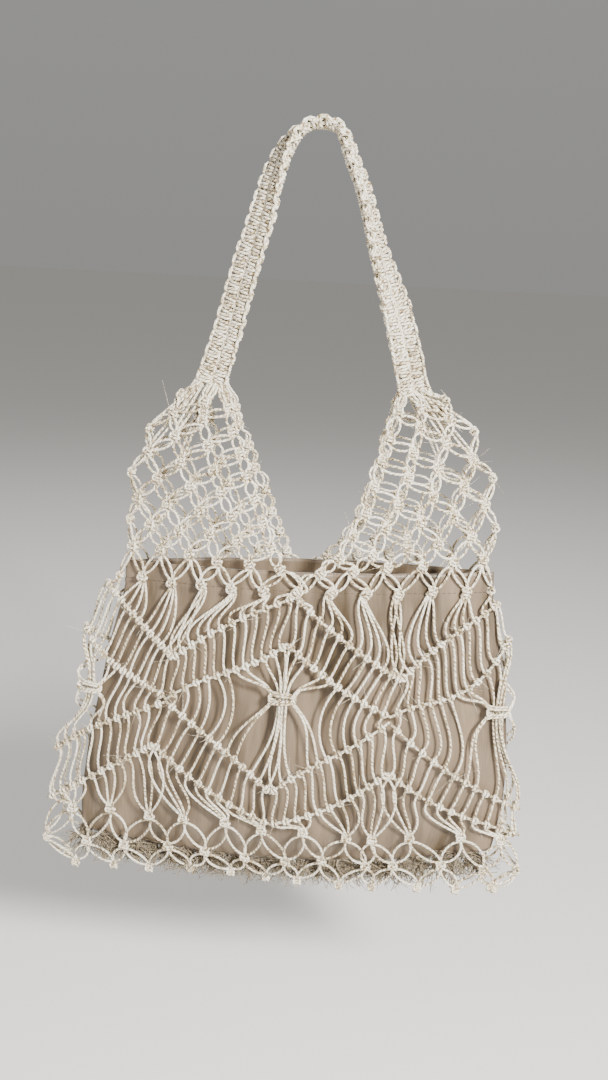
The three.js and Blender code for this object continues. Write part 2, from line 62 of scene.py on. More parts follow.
# The net's driving sizes, in millimetres.
NECK_DROP = 324.0
NECK_WIDTH = 290.0
BODY_HEIGHT = 243.0
BASE_WIDTH = 376.0
BAG_DEPTH = 68.0
BASE_LEAN = 9.0
PLACES = 24
STRAP_WIDTH = 24.0
STRAP_THICKNESS = 8.0
STRAP_DROP = 169.0
STRAP_SPREAD = 145.0
STRAP_PITCH = 9.5
STRAP_OVERLAP = 1.3  # how far each column of knots is moved in over the strap's middle
STRAP_UNEVEN = 0.25  # how far its knots stray
STRAP_TILT = 0.07
STRAP_KNOT_WIDE = 1.85
STRAP_KNOT_DEEP = 1.5
STRAP_TWIN = 1.15  # half the distance between the two strings that make each bar of a strap knot
STRAP_SUNK = 0.7  # share of its height that a strap knot's inner edge loses
CORE_WIDE, CORE_DEEP = 3.0, 1.9  # half the size of a column's core, over the twine's radius
KNOT_LIFT = 1.3  # how far a net knot's middle stands out from the net's middle sheet
CORD_LIFT = 0.7
PETAL_TURN = math.radians(62)  # how far the cords of a pair turn from the line between their knots
# Half the width of the gap that a pair of cords leaves: in the shoulders and in the base's two rows.
SHOULDER_PETAL = 2.5
BASE_PETAL = 5.0
LOOP_PETAL = 3.8
RIDGE_LIFT = 1.2
HITCH_REACH = 1.75  # from a ridge's holding cord to where its strings leave, over the twine's radius
KNOT_SIZE = 1.1  # hand-tied knots stand this much wider than tight ones


# Colours, curves and tables


def linear(hex_colour):
    """Linear RGB of an sRGB hex colour: c/12.92 below 0.04045, else ((c + 0.055)/1.055)^2.4."""
    levels = [int(hex_colour[i : i + 2], 16) / 255 for i in (0, 2, 4)]
    return tuple(c / 12.92 if c <= 0.04045 else ((c + 0.055) / 1.055) ** 2.4 for c in levels)


def unit(vectors):
    """Each vector divided by its length."""
    return vectors / np.maximum(np.linalg.norm(vectors, axis=-1, keepdims=True), 1e-9)


def reach_of(start, end):
    """The distance from each start to its end, as a column."""
    return np.linalg.norm(end - start, axis=-1, keepdims=True)


def mix(a, b, share):
    """a at share 0, b at share 1 and evenly between them."""
    return a + (b - a) * share


def listed(columns, *rows):
    """A table as one dictionary for each row, with its columns' names given once."""
    names = columns.split()
    return [dict(zip(names, row)) for row in rows]


def column(rows, name):
    """Smooth reading of one column of a table against its column "at": between two rows runs the cubic
    whose slope at each row is the mean of the straight slopes on its two sides."""
    at = np.array([row["at"] for row in rows], float)
    value = np.array([row[name] for row in rows], float)
    steep = np.diff(value) / np.diff(at)
    slope = np.concatenate([steep[:1], (steep[1:] + steep[:-1]) / 2, steep[-1:]])

    def read(where):
        where = np.clip(np.asarray(where, float), at[0], at[-1])
        i = np.clip(np.searchsorted(at, where, side="right") - 1, 0, len(at) - 2)
        span = at[i + 1] - at[i]
        t = (where - at[i]) / span
        t2, t3 = t * t, t * t * t
        return (
            (2 * t3 - 3 * t2 + 1) * value[i]
            + (t3 - 2 * t2 + t) * span * slope[i]
            + (3 * t2 - 2 * t3) * value[i + 1]
            + (t3 - t2) * span * slope[i + 1]
        )

    return read


def four_around(points, count):
    """For count places spaced evenly along a list of points, the four points round each and its share of
    the way from the second to the third. The list goes on straight past both ends."""
    points = np.asarray(points, float)
    ends = np.concatenate([2 * points[:1] - points[1:2], points, 2 * points[-1:] - points[-2:-1]])
    where = np.linspace(0, len(points) - 1, count)
    i = np.minimum(where.astype(int), len(points) - 2)
    return ends[i], ends[i + 1], ends[i + 2], ends[i + 3], (where - i)[:, None]


def through(points, count):
    """The Catmull-Rom curve through a list of points, at count places spaced evenly by parameter: each
    stretch is the cubic whose end slopes are half the way between the neighbours."""
    a, b, c, d, t = four_around(points, count)
    return 0.5 * (2 * b + (c - a) * t + (2 * a - 5 * b + 4 * c - d) * t**2
                  + (3 * b - a - 3 * c + d) * t**3)


def bezier(start, start_handle, end_handle, end, count):
    """Cubic curves from start to end, drawn out towards the two handles; (m, 3) to (m, count, 3)."""
    t = np.linspace(0, 1, count)[None, :, None]
    a, b, c, d = (p[:, None, :] for p in (start, start_handle, end_handle, end))
    return (1 - t) ** 3 * a + 3 * (1 - t) ** 2 * t * b + 3 * (1 - t) * t**2 * c + t**3 * d


# The net's surface

# at: share of the body's height; wide: share of the base's width; deep: share of the bag's depth;
# even: how evenly places spread across; square: how flat the faces are; lean: share of the base's lean.
BODY_SECTIONS = listed(
    "at wide deep even square lean",
    (0.0, NECK_WIDTH / BASE_WIDTH, 0.76, 0.5, 1.0, 0.0),
    (0.17, 0.87, 0.88, 0.7, 1.0, 0.25),
    (0.38, 0.92, 0.98, 0.85, 1.0, 0.6),
    (0.56, 0.97, 1.0, 0.85, 1.0, 0.75),
    (0.74, 0.99, 0.8, 0.85, 1.0, 0.9),
    (0.8, 1.0, 0.67, 0.85, 1.0, 1.0),
    (0.92, 1.0, 0.4, 0.85, 0.8, 1.0),
    (1.0, 0.99, 0.14, 0.85, 0.3, 1.0),
)
section = {name: column(BODY_SECTIONS, name) for name in ("wide", "deep", "even", "square", "lean")}


def level_of(z):
    """Share of the body's height at a height z, held between 0 and 1."""
    return np.clip((-NECK_DROP - z) / BODY_HEIGHT, 0, 1)


def height_of(level):
    """The height z of a level of the body."""
    return -NECK_DROP - level * BODY_HEIGHT


def sideways(place):
    """From 0 at the front's middle straight up to 1 at the right side, 0 at the back's middle and -1 at
    the left side."""
    turned = np.mod(place + PLACES / 4, PLACES) / (PLACES / 4)
    return np.where(turned < 2, turned - 1, 3 - turned)


def net_point(place, z):
    """The net's middle sheet: across is a blend of the place's sine and its even share, times half the
    section's width; the depth is half the section's depth times the cosine, flattened by a power."""
    place, z = np.broadcast_arrays(np.asarray(place, float), np.asarray(z, float))
    level = level_of(z)
    angle = place / PLACES * 2 * np.pi
    even = section["even"](level)
    across = (1 - even) * np.sin(angle) + even * sideways(place)
    facing = np.cos(angle)
    flat = np.sign(facing) * np.abs(facing) ** section["square"](level)
    x = BASE_WIDTH / 2 * section["wide"](level) * across - BASE_LEAN * section["lean"](level)
    return np.stack([x, -BAG_DEPTH / 2 * section["deep"](level) * flat, z], -1)


def net_normal(place, z):
    """The way out of the net: the step to the next place crossed with the step up."""
    along = net_point(place + 0.2, z) - net_point(place - 0.2, z)
    up = net_point(place, z + 2.0) - net_point(place, z - 2.0)
    return unit(np.cross(along, up))


def front_place(x, z):
    """The place on the front that lies at x and z: the angle a solves (1-e) sin a + e a/(pi/2) = share
    across, by Newton's steps."""
    level = level_of(z)
    even = section["even"](level)
    share = (x + BASE_LEAN * section["lean"](level)) / (BASE_WIDTH / 2 * section["wide"](level))
    share = np.clip(share, -1, 1)
    angle = share * np.pi / 2
    for _ in range(6):
        error = (1 - even) * np.sin(angle) + even * angle / (np.pi / 2) - share
        angle = angle - error / ((1 - even) * np.cos(angle) + even / (np.pi / 2))
    return np.clip(angle, -np.pi / 2, np.pi / 2) / (2 * np.pi) * PLACES


# Meshes made of many tubes

RING_SIDES = 7
PLY_PITCH = 7.5  # millimetres of twine for one turn of its two plies
PLY_DEPTH = 0.2


class Bundle:
    """Corners, faces and the two twine attributes of many tubes, gathered for one mesh."""

    def __init__(self):
        self.corners, self.grain, self.tone, self.quads, self.fans = [], [], [], [], []
        self.count = 0

    def add(self, corners, grain, tone, quads, fans):
        self.corners.append(corners)
        self.grain.append(grain)
        self.tone.append(tone)
        self.quads.append(quads + self.count)
        self.fans.append(fans + self.count)
        self.count += len(corners)


def tubes(paths, outs, width, depth=None, sides=RING_SIDES, plies=True, taper=0.0, rng=None):
    """Tubes along many paths of the same length. A ring's point at angle a is the path's point plus
    width cos a along the side way and depth sin a along the out way, drawn in between the two plies by
    a helix. Returns corners, grain (cos and sin of the helix, distance along), tone, quads and fans."""
    rng = rng or np.random.default_rng(1)
    paths = np.asarray(paths, float)
    many, count, _ = paths.shape
    way = unit(np.gradient(paths, axis=1))
    out = np.broadcast_to(outs if outs.ndim == 3 else outs[:, None, :], paths.shape)
    side = unit(np.cross(way, out))
    lift = np.cross(side, way)
    steps = np.linalg.norm(np.diff(paths, axis=1), axis=-1)
    along = np.concatenate([np.zeros((many, 1)), np.cumsum(steps, axis=1)], axis=1)
    start = rng.random((many, 1)) * 40
    angle = np.arange(sides) / sides * 2 * np.pi
    helix = angle[None, None, :] - (2 * np.pi * (along + start) / PLY_PITCH)[..., None]
    drawn = 1 - PLY_DEPTH + PLY_DEPTH * np.abs(np.cos(helix)) if plies else np.ones(helix.shape)
    narrow = 1 - taper * (along / np.maximum(along[:, -1:], 1e-6))[..., None]
    across = (width * drawn * narrow * np.cos(angle))[..., None]
    raised = ((depth or width) * drawn * narrow * np.sin(angle))[..., None]
    rings = paths[:, :, None, :] + side[:, :, None, :] * across + lift[:, :, None, :] * raised
    cap = 0.4 * width
    tips = np.stack([paths[:, 0] - cap * way[:, 0], paths[:, -1] + cap * way[:, -1]], axis=1)
    corners = np.concatenate([rings.reshape(many, -1, 3), tips], axis=1)
    run = np.broadcast_to((along + start)[..., None], helix.shape)
    grain = np.stack([np.cos(helix), np.sin(helix), run], axis=-1)
    end_grain = np.stack([grain[:, 0, 0], grain[:, -1, 0]], axis=1)
    grain = np.concatenate([grain.reshape(many, -1, 3), end_grain], axis=1)
    size = count * sides + 2
    tone = np.repeat(rng.random(many), size)
    i, k = np.meshgrid(np.arange(count - 1), np.arange(sides), indexing="ij")
    near, next_k = i * sides + k, i * sides + (k + 1) % sides
    quads = np.stack([near, near + sides, next_k + sides, next_k], axis=-1).reshape(-1, 4)
    k = np.arange(sides)
    last = (count - 1) * sides
    first_fan = np.stack([np.full(sides, size - 2), k, (k + 1) % sides], axis=-1)
    last_fan = np.stack([np.full(sides, size - 1), last + (k + 1) % sides, last + k], axis=-1)
    fans = np.concatenate([first_fan, last_fan])
    offset = (np.arange(many) * size)[:, None, None]
    return (
        corners.reshape(-1, 3),
        grain.reshape(-1, 3),
        tone,
        (quads + offset).reshape(-1, 4),
        (fans + offset).reshape(-1, 3),
    )


def place_copies(template, frames, rng):
    """A template's corners set into many frames: origin + x right + y up + z out for each frame."""
    corners, grain, tone, quads, fans = template
    origin, right, up, out = frames
    ways = np.stack([right, up, out], axis=1)
    moved = origin[:, None, :] + np.einsum("vi,kij->kvj", corners, ways)
    many, size = len(origin), len(corners)
    shift = rng.random((many, 1, 1)) * np.array([0.0, 0.0, 30.0])
    run = np.broadcast_to(grain, (many, size, 3)) + shift
    tones = np.mod(tone[None, :] + rng.random((many, 1)), 1.0)
    offset = (np.arange(many) * size)[:, None, None]
    return (
        moved.reshape(-1, 3),
        run.reshape(-1, 3),
        tones.reshape(-1),
        (quads[None] + offset).reshape(-1, 4),
        (fans[None] + offset).reshape(-1, 3),
    )


def make_mesh(name, corners, quads, fans, attributes=(), smooth=True):
    """A mesh object at the origin from millimetre corners, four-sided and three-sided faces and point
    attributes given as (name, type, values)."""
    mesh = bpy.data.meshes.new(name)
    mesh.vertices.add(len(corners))
    mesh.vertices.foreach_set("co", (np.asarray(corners) * MM).astype(np.float32).ravel())
    total = np.concatenate([np.full(len(quads), 4), np.full(len(fans), 3)]).astype(np.int32)
    index = np.concatenate([quads.ravel(), fans.ravel()]).astype(np.int32)
    mesh.loops.add(len(index))
    mesh.loops.foreach_set("vertex_index", index)
    mesh.polygons.add(len(total))
    mesh.polygons.foreach_set("loop_start", np.concatenate([[0], np.cumsum(total)[:-1]]).astype(np.int32))
    mesh.polygons.foreach_set("use_smooth", np.full(len(total), smooth))
    mesh.update(calc_edges=True)
    for label, kind, values in attributes:
        field = "vector" if kind == "FLOAT_VECTOR" else "value"
        layer = mesh.attributes.new(label, kind, "POINT")
        layer.data.foreach_set(field, np.asarray(values, np.float32).ravel())
    piece = bpy.data.objects.new(name, mesh)
    bpy.context.scene.collection.objects.link(piece)
    return piece


def finish_bundle(name, bundle, nodes=(), material=None):
    """Makes one piece of a bundle, gives it its material and slot, and has it ride and replace."""
    piece = make_mesh(
        name,
        np.concatenate(bundle.corners),
        np.concatenate(bundle.quads),
        np.concatenate(bundle.fans),
        [
            ("grain", "FLOAT_VECTOR", np.concatenate(bundle.grain)),
            ("tone", "FLOAT", np.concatenate(bundle.tone)),
        ],
    )
    piece.data.materials.append(material or shared_twine())
    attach(piece, BODY)
    if nodes:
        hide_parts(*nodes)
    return piece


# Square knots


def mirrored(points):
    """Points from the top down to the middle one, then on downwards as their mirror image."""
    return points + [(x, -y, z) for x, y, z in points[-2::-1]]


# One square knot seen from outside, in twine radii: x right, y up, z out. The front cord makes both bars
# and turns back at the right; the back cord hooks over the front cord's ends and runs behind.
FRONT_CORD = mirrored([
    (-1.9, 3.6, 0.2), (-3.0, 2.5, 0.2), (-2.9, 1.5, 1.0), (-1.3, 1.15, 2.0), (0.0, 1.05, 2.2),
    (1.4, 0.95, 1.9), (2.8, 0.6, 0.9), (3.2, 0.0, 0.1),
])
BACK_CORD = mirrored([
    (1.9, 3.6, 0.2), (2.5, 2.6, 1.4), (2.5, 1.3, 2.7), (2.2, 0.35, 1.2), (1.2, 0.4, -1.2),
    (0.0, 0.9, -2.0), (-1.5, 1.5, -1.5), (-2.6, 1.7, 0.3), (-3.0, 1.1, 2.1), (-3.1, 0.0, 2.8),
])
BAR_HEIGHT = 1.05  # how high the middle of the front cord's upper bar lies
FILLER_REACH = 3.8
FILLER_OFFSET = 0.8
# Where the four cords leave a knot downwards, and which way; upwards is the mirror image.
EXITS = np.array([[-1.9, -3.6, 0.2], [-0.8, -3.8, 0.0], [0.8, -3.8, 0.0], [1.9, -3.6, 0.2]])
EXIT_WAYS = np.array([[-0.85, -0.5, 0.0], [-0.3, -0.95, 0.0], [0.3, -0.95, 0.0], [0.85, -0.5, 0.0]])


def knot_template(radius, stretch, rings=(20, 24), doubled=0.0, fillers=True, sunk=0.0):
    """The corners of one square knot: each cord is the curve through its listed points, stretched in
    x, y and z, and set down twice where the cords are doubled. sunk is the share of its height that the
    right edge loses, where another knot's edge lies over it."""
    made = Bundle()
    rng = np.random.default_rng(5)
    stretch = np.asarray(stretch, float)
    for points, count in ((FRONT_CORD, rings[0]), (BACK_CORD, rings[1])):
        points = np.asarray(points)
        lower = 1 - sunk * np.clip((points[:, :1] - 1.5) / 1.2, 0, 1)
        path = through(points * stretch * np.where([0, 0, 1], lower, 1), count)
        for shift in (-doubled, doubled) if doubled else (0.0,):
            moved = path + np.array([0.0, shift, 0.0])
            made.add(*tubes(moved[None], around_middle(moved)[None], radius, rng=rng))
    if fillers:
        y = np.linspace(FILLER_REACH, -FILLER_REACH, 6) * stretch[1]
        for x in (-FILLER_OFFSET, FILLER_OFFSET):
            path = np.stack([np.full(6, x * stretch[0]), y, np.zeros(6)], axis=-1)
            made.add(*tubes(path[None], np.array([[0.0, 0.0, 1.0]]), radius, rng=rng))
    return tuple(np.concatenate(part) for part in
                 (made.corners, made.grain, made.tone, made.quads, made.fans))


def around_middle(path):
    """For a cord that winds round a knot's middle line, the way out from that line at each point."""
    away = path * np.array([1.0, 0.0, 1.0])
    return unit(away + np.array([0.0, 0.0, 0.05]))


def frames_of(origin, out, up, lift, rng=None, tilt=0.0):
    """Right-handed frames with their out way along out and their up way nearest to up, raised by lift
    and, with a generator, tilted by up to tilt radians in their own plane."""
    out = unit(out)
    right = unit(np.cross(up, out))
    up = np.cross(out, right)
    if rng is not None:
        turn = rng.uniform(-tilt, tilt, len(origin))[:, None]
        right, up = (
            right * np.cos(turn) + up * np.sin(turn),
            up * np.cos(turn) - right * np.sin(turn),
        )
    return origin + out * lift, right, up, out


def ends_of(frames, scale, upwards, which):
    """The point and the way of one of a knot's four cord ends in each frame."""
    origin, right, up, out = frames
    flip = np.array([1.0, -1.0, 1.0]) if upwards else np.ones(3)
    local, way = EXITS[which] * flip * scale, EXIT_WAYS[which] * flip
    point = origin + right * local[0] + up * local[1] + out * local[2]
    return point, right * way[0] + up * way[1] + out * way[2]


def part_of(frames, which):
    """Some of the frames, chosen by index."""
    return tuple(part[which] for part in frames)


def petals(bundle, above, below, scale, radius, rng, leans_left, half_width, rings=12):
    """The pair of cords that joins each knot to one in the row below. Both leave and arrive turned from the
    straight line between the knots, each to its own side, so they leave a lens-shaped gap between them.
    leans_left says that the lower knot stands to the left."""
    pairs = ((0, 2, -1), (1, 3, 1)) if leans_left else ((3, 1, 1), (2, 0, -1))
    outs = unit(above[3] + below[3])
    for high, low, hand in pairs:
        start, start_way = ends_of(above, scale, False, high)
        end, end_way = ends_of(below, scale, True, low)
        line = unit(end - start)
        side = np.cross(outs, line) * hand
        pull = half_width * 4 / 3 / math.sin(PETAL_TURN) * rng.uniform(0.75, 1.3, (len(start), 1))
        bow = side * math.sin(PETAL_TURN) * pull
        puff = outs * rng.uniform(-0.2, 1.0, (len(start), 1))
        path = bezier(start - start_way * 0.6, start + line * math.cos(PETAL_TURN) * pull + bow + puff,
                      end - line * math.cos(PETAL_TURN) * pull + bow + puff, end - end_way * 0.6, rings)
        bundle.add(*tubes(path, outs, radius, rng=rng))


# Shoulder nets

# Where each row of a shoulder net starts at the neck's edge (inner) and turns round the side (outer),
# in millimetres, and how far it has thinned towards the strap.
LEFT_SHOULDER = listed(
    "at inner_x inner_z outer_x outer_z thin",
    (0, -2, -325, -145, -327, 0.0),
    (1, -16, -308, -141, -302, 0.04),
    (2, -23, -292, -139, -283, 0.085),
    (3, -29, -275, -139, -265, 0.15),
    (4, -36, -258, -136, -247, 0.21),
    (5, -43, -242, -130, -229, 0.3),
    (6, -49, -226, -122, -213, 0.42),
    (7, -55, -210, -111, -199, 0.58),
    (8, -59, -194, -97, -187, 0.78),
    (9, -62, -174, -83, -172, 1.0),
)
RIGHT_SHOULDER = listed(
    "at inner_x inner_z outer_x outer_z thin",
    (0, -2, -325, 147, -320, 0.0),
    (1, 15, -310, 146, -295, 0.04),
    (2, 28, -298, 146, -273, 0.085),
    (3, 38, -281, 143, -253, 0.15),
    (4, 45, -263, 138, -235, 0.21),
    (5, 50, -245, 131, -218, 0.3),
    (6, 55, -226, 122, -203, 0.42),
    (7, 59, -208, 111, -191, 0.58),
    (8, 62, -190, 98, -181, 0.78),
    (9, 62, -173, 83, -172, 1.0),
)
SHOULDER_TOP = 8  # the last row of knots below the strap
SHOULDER_COLUMNS = ("inner_x", "inner_z", "outer_x", "outer_z", "thin")
SHOULDERS = {
    -1: {name: column(LEFT_SHOULDER, name) for name in SHOULDER_COLUMNS},
    1: {name: column(RIGHT_SHOULDER, name) for name in SHOULDER_COLUMNS},
}


def shoulder_point(side, share, row):
    """A shoulder net as a surface: share runs from the front's neck edge (0) round the side (0.5) to the
    back's neck edge (1); x and z go evenly from the inner to the outer line, x held in a little right at
    the fold; the depth is the row's half depth times the cosine of the share's half turn."""
    table = SHOULDERS[side]
    share, row = np.broadcast_arrays(np.asarray(share, float), np.asarray(row, float))
    round_it = 1 - np.abs(1 - 2 * share)
    x = mix(table["inner_x"](row), table["outer_x"](row), round_it - 0.05 * round_it**16)
    z = mix(table["inner_z"](row), table["outer_z"](row), round_it)
    mouth, top = BAG_DEPTH / 2 * section["deep"](0.0), STRAP_THICKNESS / 2 - 1.5
    half = mix(mouth, top, table["thin"](row))
    return np.stack([x, -half * np.cos(np.pi * share), z], -1)


def shoulder_frames(side, row, rng, tilt=0.16):
    """The frames of one row's knots, counted to the right as seen from outside."""
    gaps = PLACES // 2 - row
    share = np.arange(gaps + 1) / gaps
    share = share if side > 0 else 1 - share
    row_at = np.full(gaps + 1, float(row))
    here = shoulder_point(side, share, row_at)
    step = 0.01 * side
    along = shoulder_point(side, share + step, row_at) - shoulder_point(side, share - step, row_at)
    up = shoulder_point(side, share, row_at + 0.1) - here
    out = unit(np.cross(along, up))
    shake = rng.normal(0, 0.7, here.shape) * np.array([1.0, 0.3, 1.0])
    return frames_of(here + shake, out, unit(up), KNOT_LIFT, rng, tilt)


def neck_row(settings):
    """The frames of the 24 knots of the row at the neck, by place."""
    rng = np.random.default_rng(settings.seed)
    left, right = shoulder_frames(-1, 0, rng), shoulder_frames(1, 0, rng)
    return tuple(np.concatenate([r, l[1:-1]]) for l, r in zip(left, right))


# Ridges of double half hitches

# The corners of each ridge on the front, from the left side's middle to the right side's: x and z in
# millimetres, and how far the arm that starts there bows up (or down) in its early and its late part. The
# side corners' x follows from the net. back: levels of the ridge's middles and crossings on the back.
# crowd: power by which the hitches draw together towards the crossings, or apart below 1.
CORNER = "x z early late"
UPPER = {
    "corners": listed(
        CORNER, (None, -334, 0.0, 0.0), (-94, -384, 3.6, 2.6), (-3, -329, -1.8, -1.8), (79, -388, 4.5, 0.5),
        (None, -330, 0.0, 0.0)),
    "back": {"middle": 0.045, "crossing": 0.24}, "crowd": 1.15,
}
SECOND = {
    "corners": listed(
        CORNER, (None, -370, -9.0, 0.0), (-98, -417, 4.0, -4.0), (-7, -364, -2.7, -2.7),
        (73, -417, 0.0, -18.0), (None, -357, 0.0, 0.0)),
    "back": {"middle": 0.165, "crossing": 0.38}, "crowd": 0.86,
}
THIRD = {
    "corners": listed(
        CORNER, (None, -476, 4.5, 1.0), (-98, -419, 0.6, 3.6), (-15, -484, 3.5, -2.5),
        (72, -421, -5.0, -3.0), (None, -496, 0.0, 0.0)),
    "back": {"middle": 0.664, "crossing": 0.395}, "crowd": 0.88,
}
LOWER = {
    "corners": listed(
        CORNER, (None, -519, 0.0, 0.0), (-107, -455, -3.0, -3.0), (-15, -513, -4.2, -4.2),
        (74, -462, -6.0, -2.0), (None, -518, 0.0, 0.0)),
    "back": {"middle": 0.77, "crossing": 0.556}, "crowd": 1.2,
}
ARMS = 8
HITCHES = 12  # to an arm
ARM_PLACES = PLACES / ARMS
ARM_BOW = 6.75  # makes each of the two bowing cubics 1 at its peak
HOLDER_SIZE = 1.15  # the holding cord's radius, over the twine's
HITCH_WIND = 2.0  # how far from the holding cord's middle a string winds, over the twine's radius
HITCH_WIDE, HITCH_DEEP = 1.22, 1.1  # half the size of a wound string, over the twine's radius
SLACK, SHEAF_SLACK = 0.24, 0.36  # how far strings run straight off a ridge, as a share of the gap


def ridge_at(ridge, arm, share):
    """Points and normals on a ridge at shares along one arm. Arms 0 to 3 lie on the front between the
    listed corners, bowed by cubics that peak a third and two thirds along; arms 4 to 7 go evenly
    round the back."""
    if arm < ARMS // 2:
        first, last = ridge["corners"][arm], ridge["corners"][arm + 1]
        ends = []
        for corner, place in ((first, -6.0), (last, 6.0)):
            known = corner["x"] is not None
            ends.append(corner["x"] if known else float(net_point(place, float(corner["z"]))[0]))
        x = mix(ends[0], ends[1], share)
        early, late = (ARM_BOW * share ** (3 - k) * (1 - share) ** k for k in (2, 1))
        z = mix(first["z"], last["z"], share) + first["early"] * early + first["late"] * late
        place = front_place(x, z)
    else:
        levels = [ridge["back"]["middle"], ridge["back"]["crossing"]]
        if arm % 2:
            levels.reverse()
        heights = [height_of(level) for level in levels]
        sides = {4: (0, ridge["corners"][-1]["z"]), 7: (1, ridge["corners"][0]["z"])}
        if arm in sides:
            heights[sides[arm][0]] = sides[arm][1]
        z = mix(heights[0], heights[1], share)
        place = 6 + (arm - 4 + share) * ARM_PLACES
    return net_point(place, z), net_normal(place, z)


def hitch_shares(ridge, arm):
    """Shares of an arm where its hitches sit: even steps from the arm's crossing, raised to a power."""
    share = (np.arange(HITCHES) + 0.5) / HITCHES
    return 1 - (1 - share) ** ridge["crowd"] if arm % 2 == 0 else share ** ridge["crowd"]


def hitch_frames(ridge):
    """The frames of a ridge's 96 hitches by order round the bag from the left side: the right way runs
    along the ridge and the up way across it."""
    origin, right, out = [], [], []
    for arm in range(ARMS):
        share = hitch_shares(ridge, arm)
        here, normal = ridge_at(ridge, arm, share)
        step = 0.01
        along = ridge_at(ridge, arm, share + step)[0] - ridge_at(ridge, arm, share - step)[0]
        origin.append(here)
        right.append(unit(along))
        out.append(normal)
    origin, right, out = (np.concatenate(part) for part in (origin, right, out))
    return origin + out * RIDGE_LIFT, right, unit(np.cross(out, right)), out


# How a string winds round the holding cord. at: turns from straight up; slide: how far along the ridge.
HITCH_TURNS = listed("at slide", (-0.08, -1.0), (0.25, -1.25), (0.75, -0.1), (1.25, 1.25), (1.55, 0.2))
HITCH_SPREAD = 1.3  # millimetres along the ridge for a slide of 1


def add_ridge(bundle, ridge, radius, rng):
    """A holding cord along the ridge, with each string wound a little over one and a half turns round it:
    a turn's point is the hitch's middle plus the reach times cosine up and sine out, sliding along."""
    share = np.linspace(0, 1, 34)
    for arm in range(ARMS):
        path, normal = ridge_at(ridge, arm, share)
        path = path + normal * RIDGE_LIFT
        bundle.add(*tubes(path[None], normal[None], radius * HOLDER_SIZE, rng=rng))
    origin, right, up, out = hitch_frames(ridge)
    turn = np.linspace(HITCH_TURNS[0]["at"], HITCH_TURNS[-1]["at"], 15)
    slide = column(HITCH_TURNS, "slide")(turn) * HITCH_SPREAD
    reach = radius * HITCH_WIND
    skew = rng.normal(0, 0.12, (len(origin), 1, 1))
    big = rng.uniform(0.93, 1.1, (len(origin), 1, 1))
    angle = turn[None, :, None] * 2 * np.pi
    winding = (
        up[:, None] * reach * np.cos(angle) * big
        + out[:, None] * reach * np.sin(angle) * big
        + right[:, None] * (slide[None, :, None] + skew * reach * np.cos(angle))
    )
    away = unit(winding - right[:, None] * slide[None, :, None])
    path = origin[:, None] + winding
    bundle.add(*tubes(path, away, radius * HITCH_WIDE, radius * HITCH_DEEP, rng=rng))


def strings(bundle, above, below, radius, rng, bow, rings, wander=0.8):
    """Strings from each hitch of one ridge down to the same hitch of the next: cubic curves that leave
    and arrive across the ridges."""
    hitch = HITCH_REACH * radius
    start = above[0] - above[2] * hitch + above[1] * 0.2
    end = below[0] + below[2] * hitch - below[1] * 1.0
    gap = reach_of(start, end)
    pull = bow * gap
    loose = rng.normal(0, wander, (len(start), 3)) * np.minimum(gap / 30, 1)
    lift = unit(above[3] + below[3]) * (CORD_LIFT - RIDGE_LIFT) * 1.3
    path = bezier(start, start - above[2] * pull + loose + lift,
                  end + below[2] * pull + loose + lift, end, rings)
    bundle.add(*tubes(path, unit(above[3] + below[3]), radius, rng=rng))


# Materials


def node(tree, kind, inputs=(), **settings):
    """Adds one shader node, with its settings and with its inputs as values or as links."""
    made = tree.nodes.new(kind)
    for name, value in settings.items():
        setattr(made, name, value)
    for name, value in dict(inputs).items():
        if isinstance(value, bpy.types.NodeSocket):
            tree.links.new(value, made.inputs[name])
        else:
            made.inputs[name].default_value = value
    return made


def start_material(name):
    """An empty node material and its output."""
    material = bpy.data.materials.new(name)
    material.use_nodes = True
    material.node_tree.nodes.clear()
    return material, node(material.node_tree, "ShaderNodeOutputMaterial")


def attribute(tree, name, output="Vector"):
    """The mesh's own attribute of that name."""
    return node(tree, "ShaderNodeAttribute", attribute_name=name).outputs[output]


def noise(tree, vector, stretch, scale=1.0, detail=3.0, roughness=0.5):
    """Noise over a vector that is first multiplied by a stretch in each direction."""
    at = node(tree, "ShaderNodeVectorMath", {0: vector, 1: stretch}, operation="MULTIPLY").outputs[0]
    made = {"Vector": at, "Scale": scale, "Detail": detail, "Roughness": roughness}
    return node(tree, "ShaderNodeTexNoise", made).outputs["Fac"]


def multiplied(tree, first, second):
    """Two colours multiplied."""
    made = node(tree, "ShaderNodeMix", {0: 1.0, 6: first, 7: second}, data_type="RGBA", blend_type="MULTIPLY")
    return made.outputs[2]


def surface(tree, output, **inputs):
    """A Principled surface with the given inputs, linked to the output."""
    named = {name.replace("_", " "): value for name, value in inputs.items()}
    shader = node(tree, "ShaderNodeBsdfPrincipled", named)
    tree.links.new(shader.outputs[0], output.inputs["Surface"])


def ramp(tree, factor, *stops):
    """The colour of a ramp whose stops are given as (position, colour) or (position, grey level)."""
    made = node(tree, "ShaderNodeValToRGB", {"Fac": factor})
    made.color_ramp.elements.remove(made.color_ramp.elements[1])
    for i, (position, colour) in enumerate(stops):
        point = made.color_ramp.elements[0] if i == 0 else made.color_ramp.elements.new(position)
        point.position = position
        point.color = (*np.broadcast_to(colour, 3), 1.0)
    return made.outputs[0]


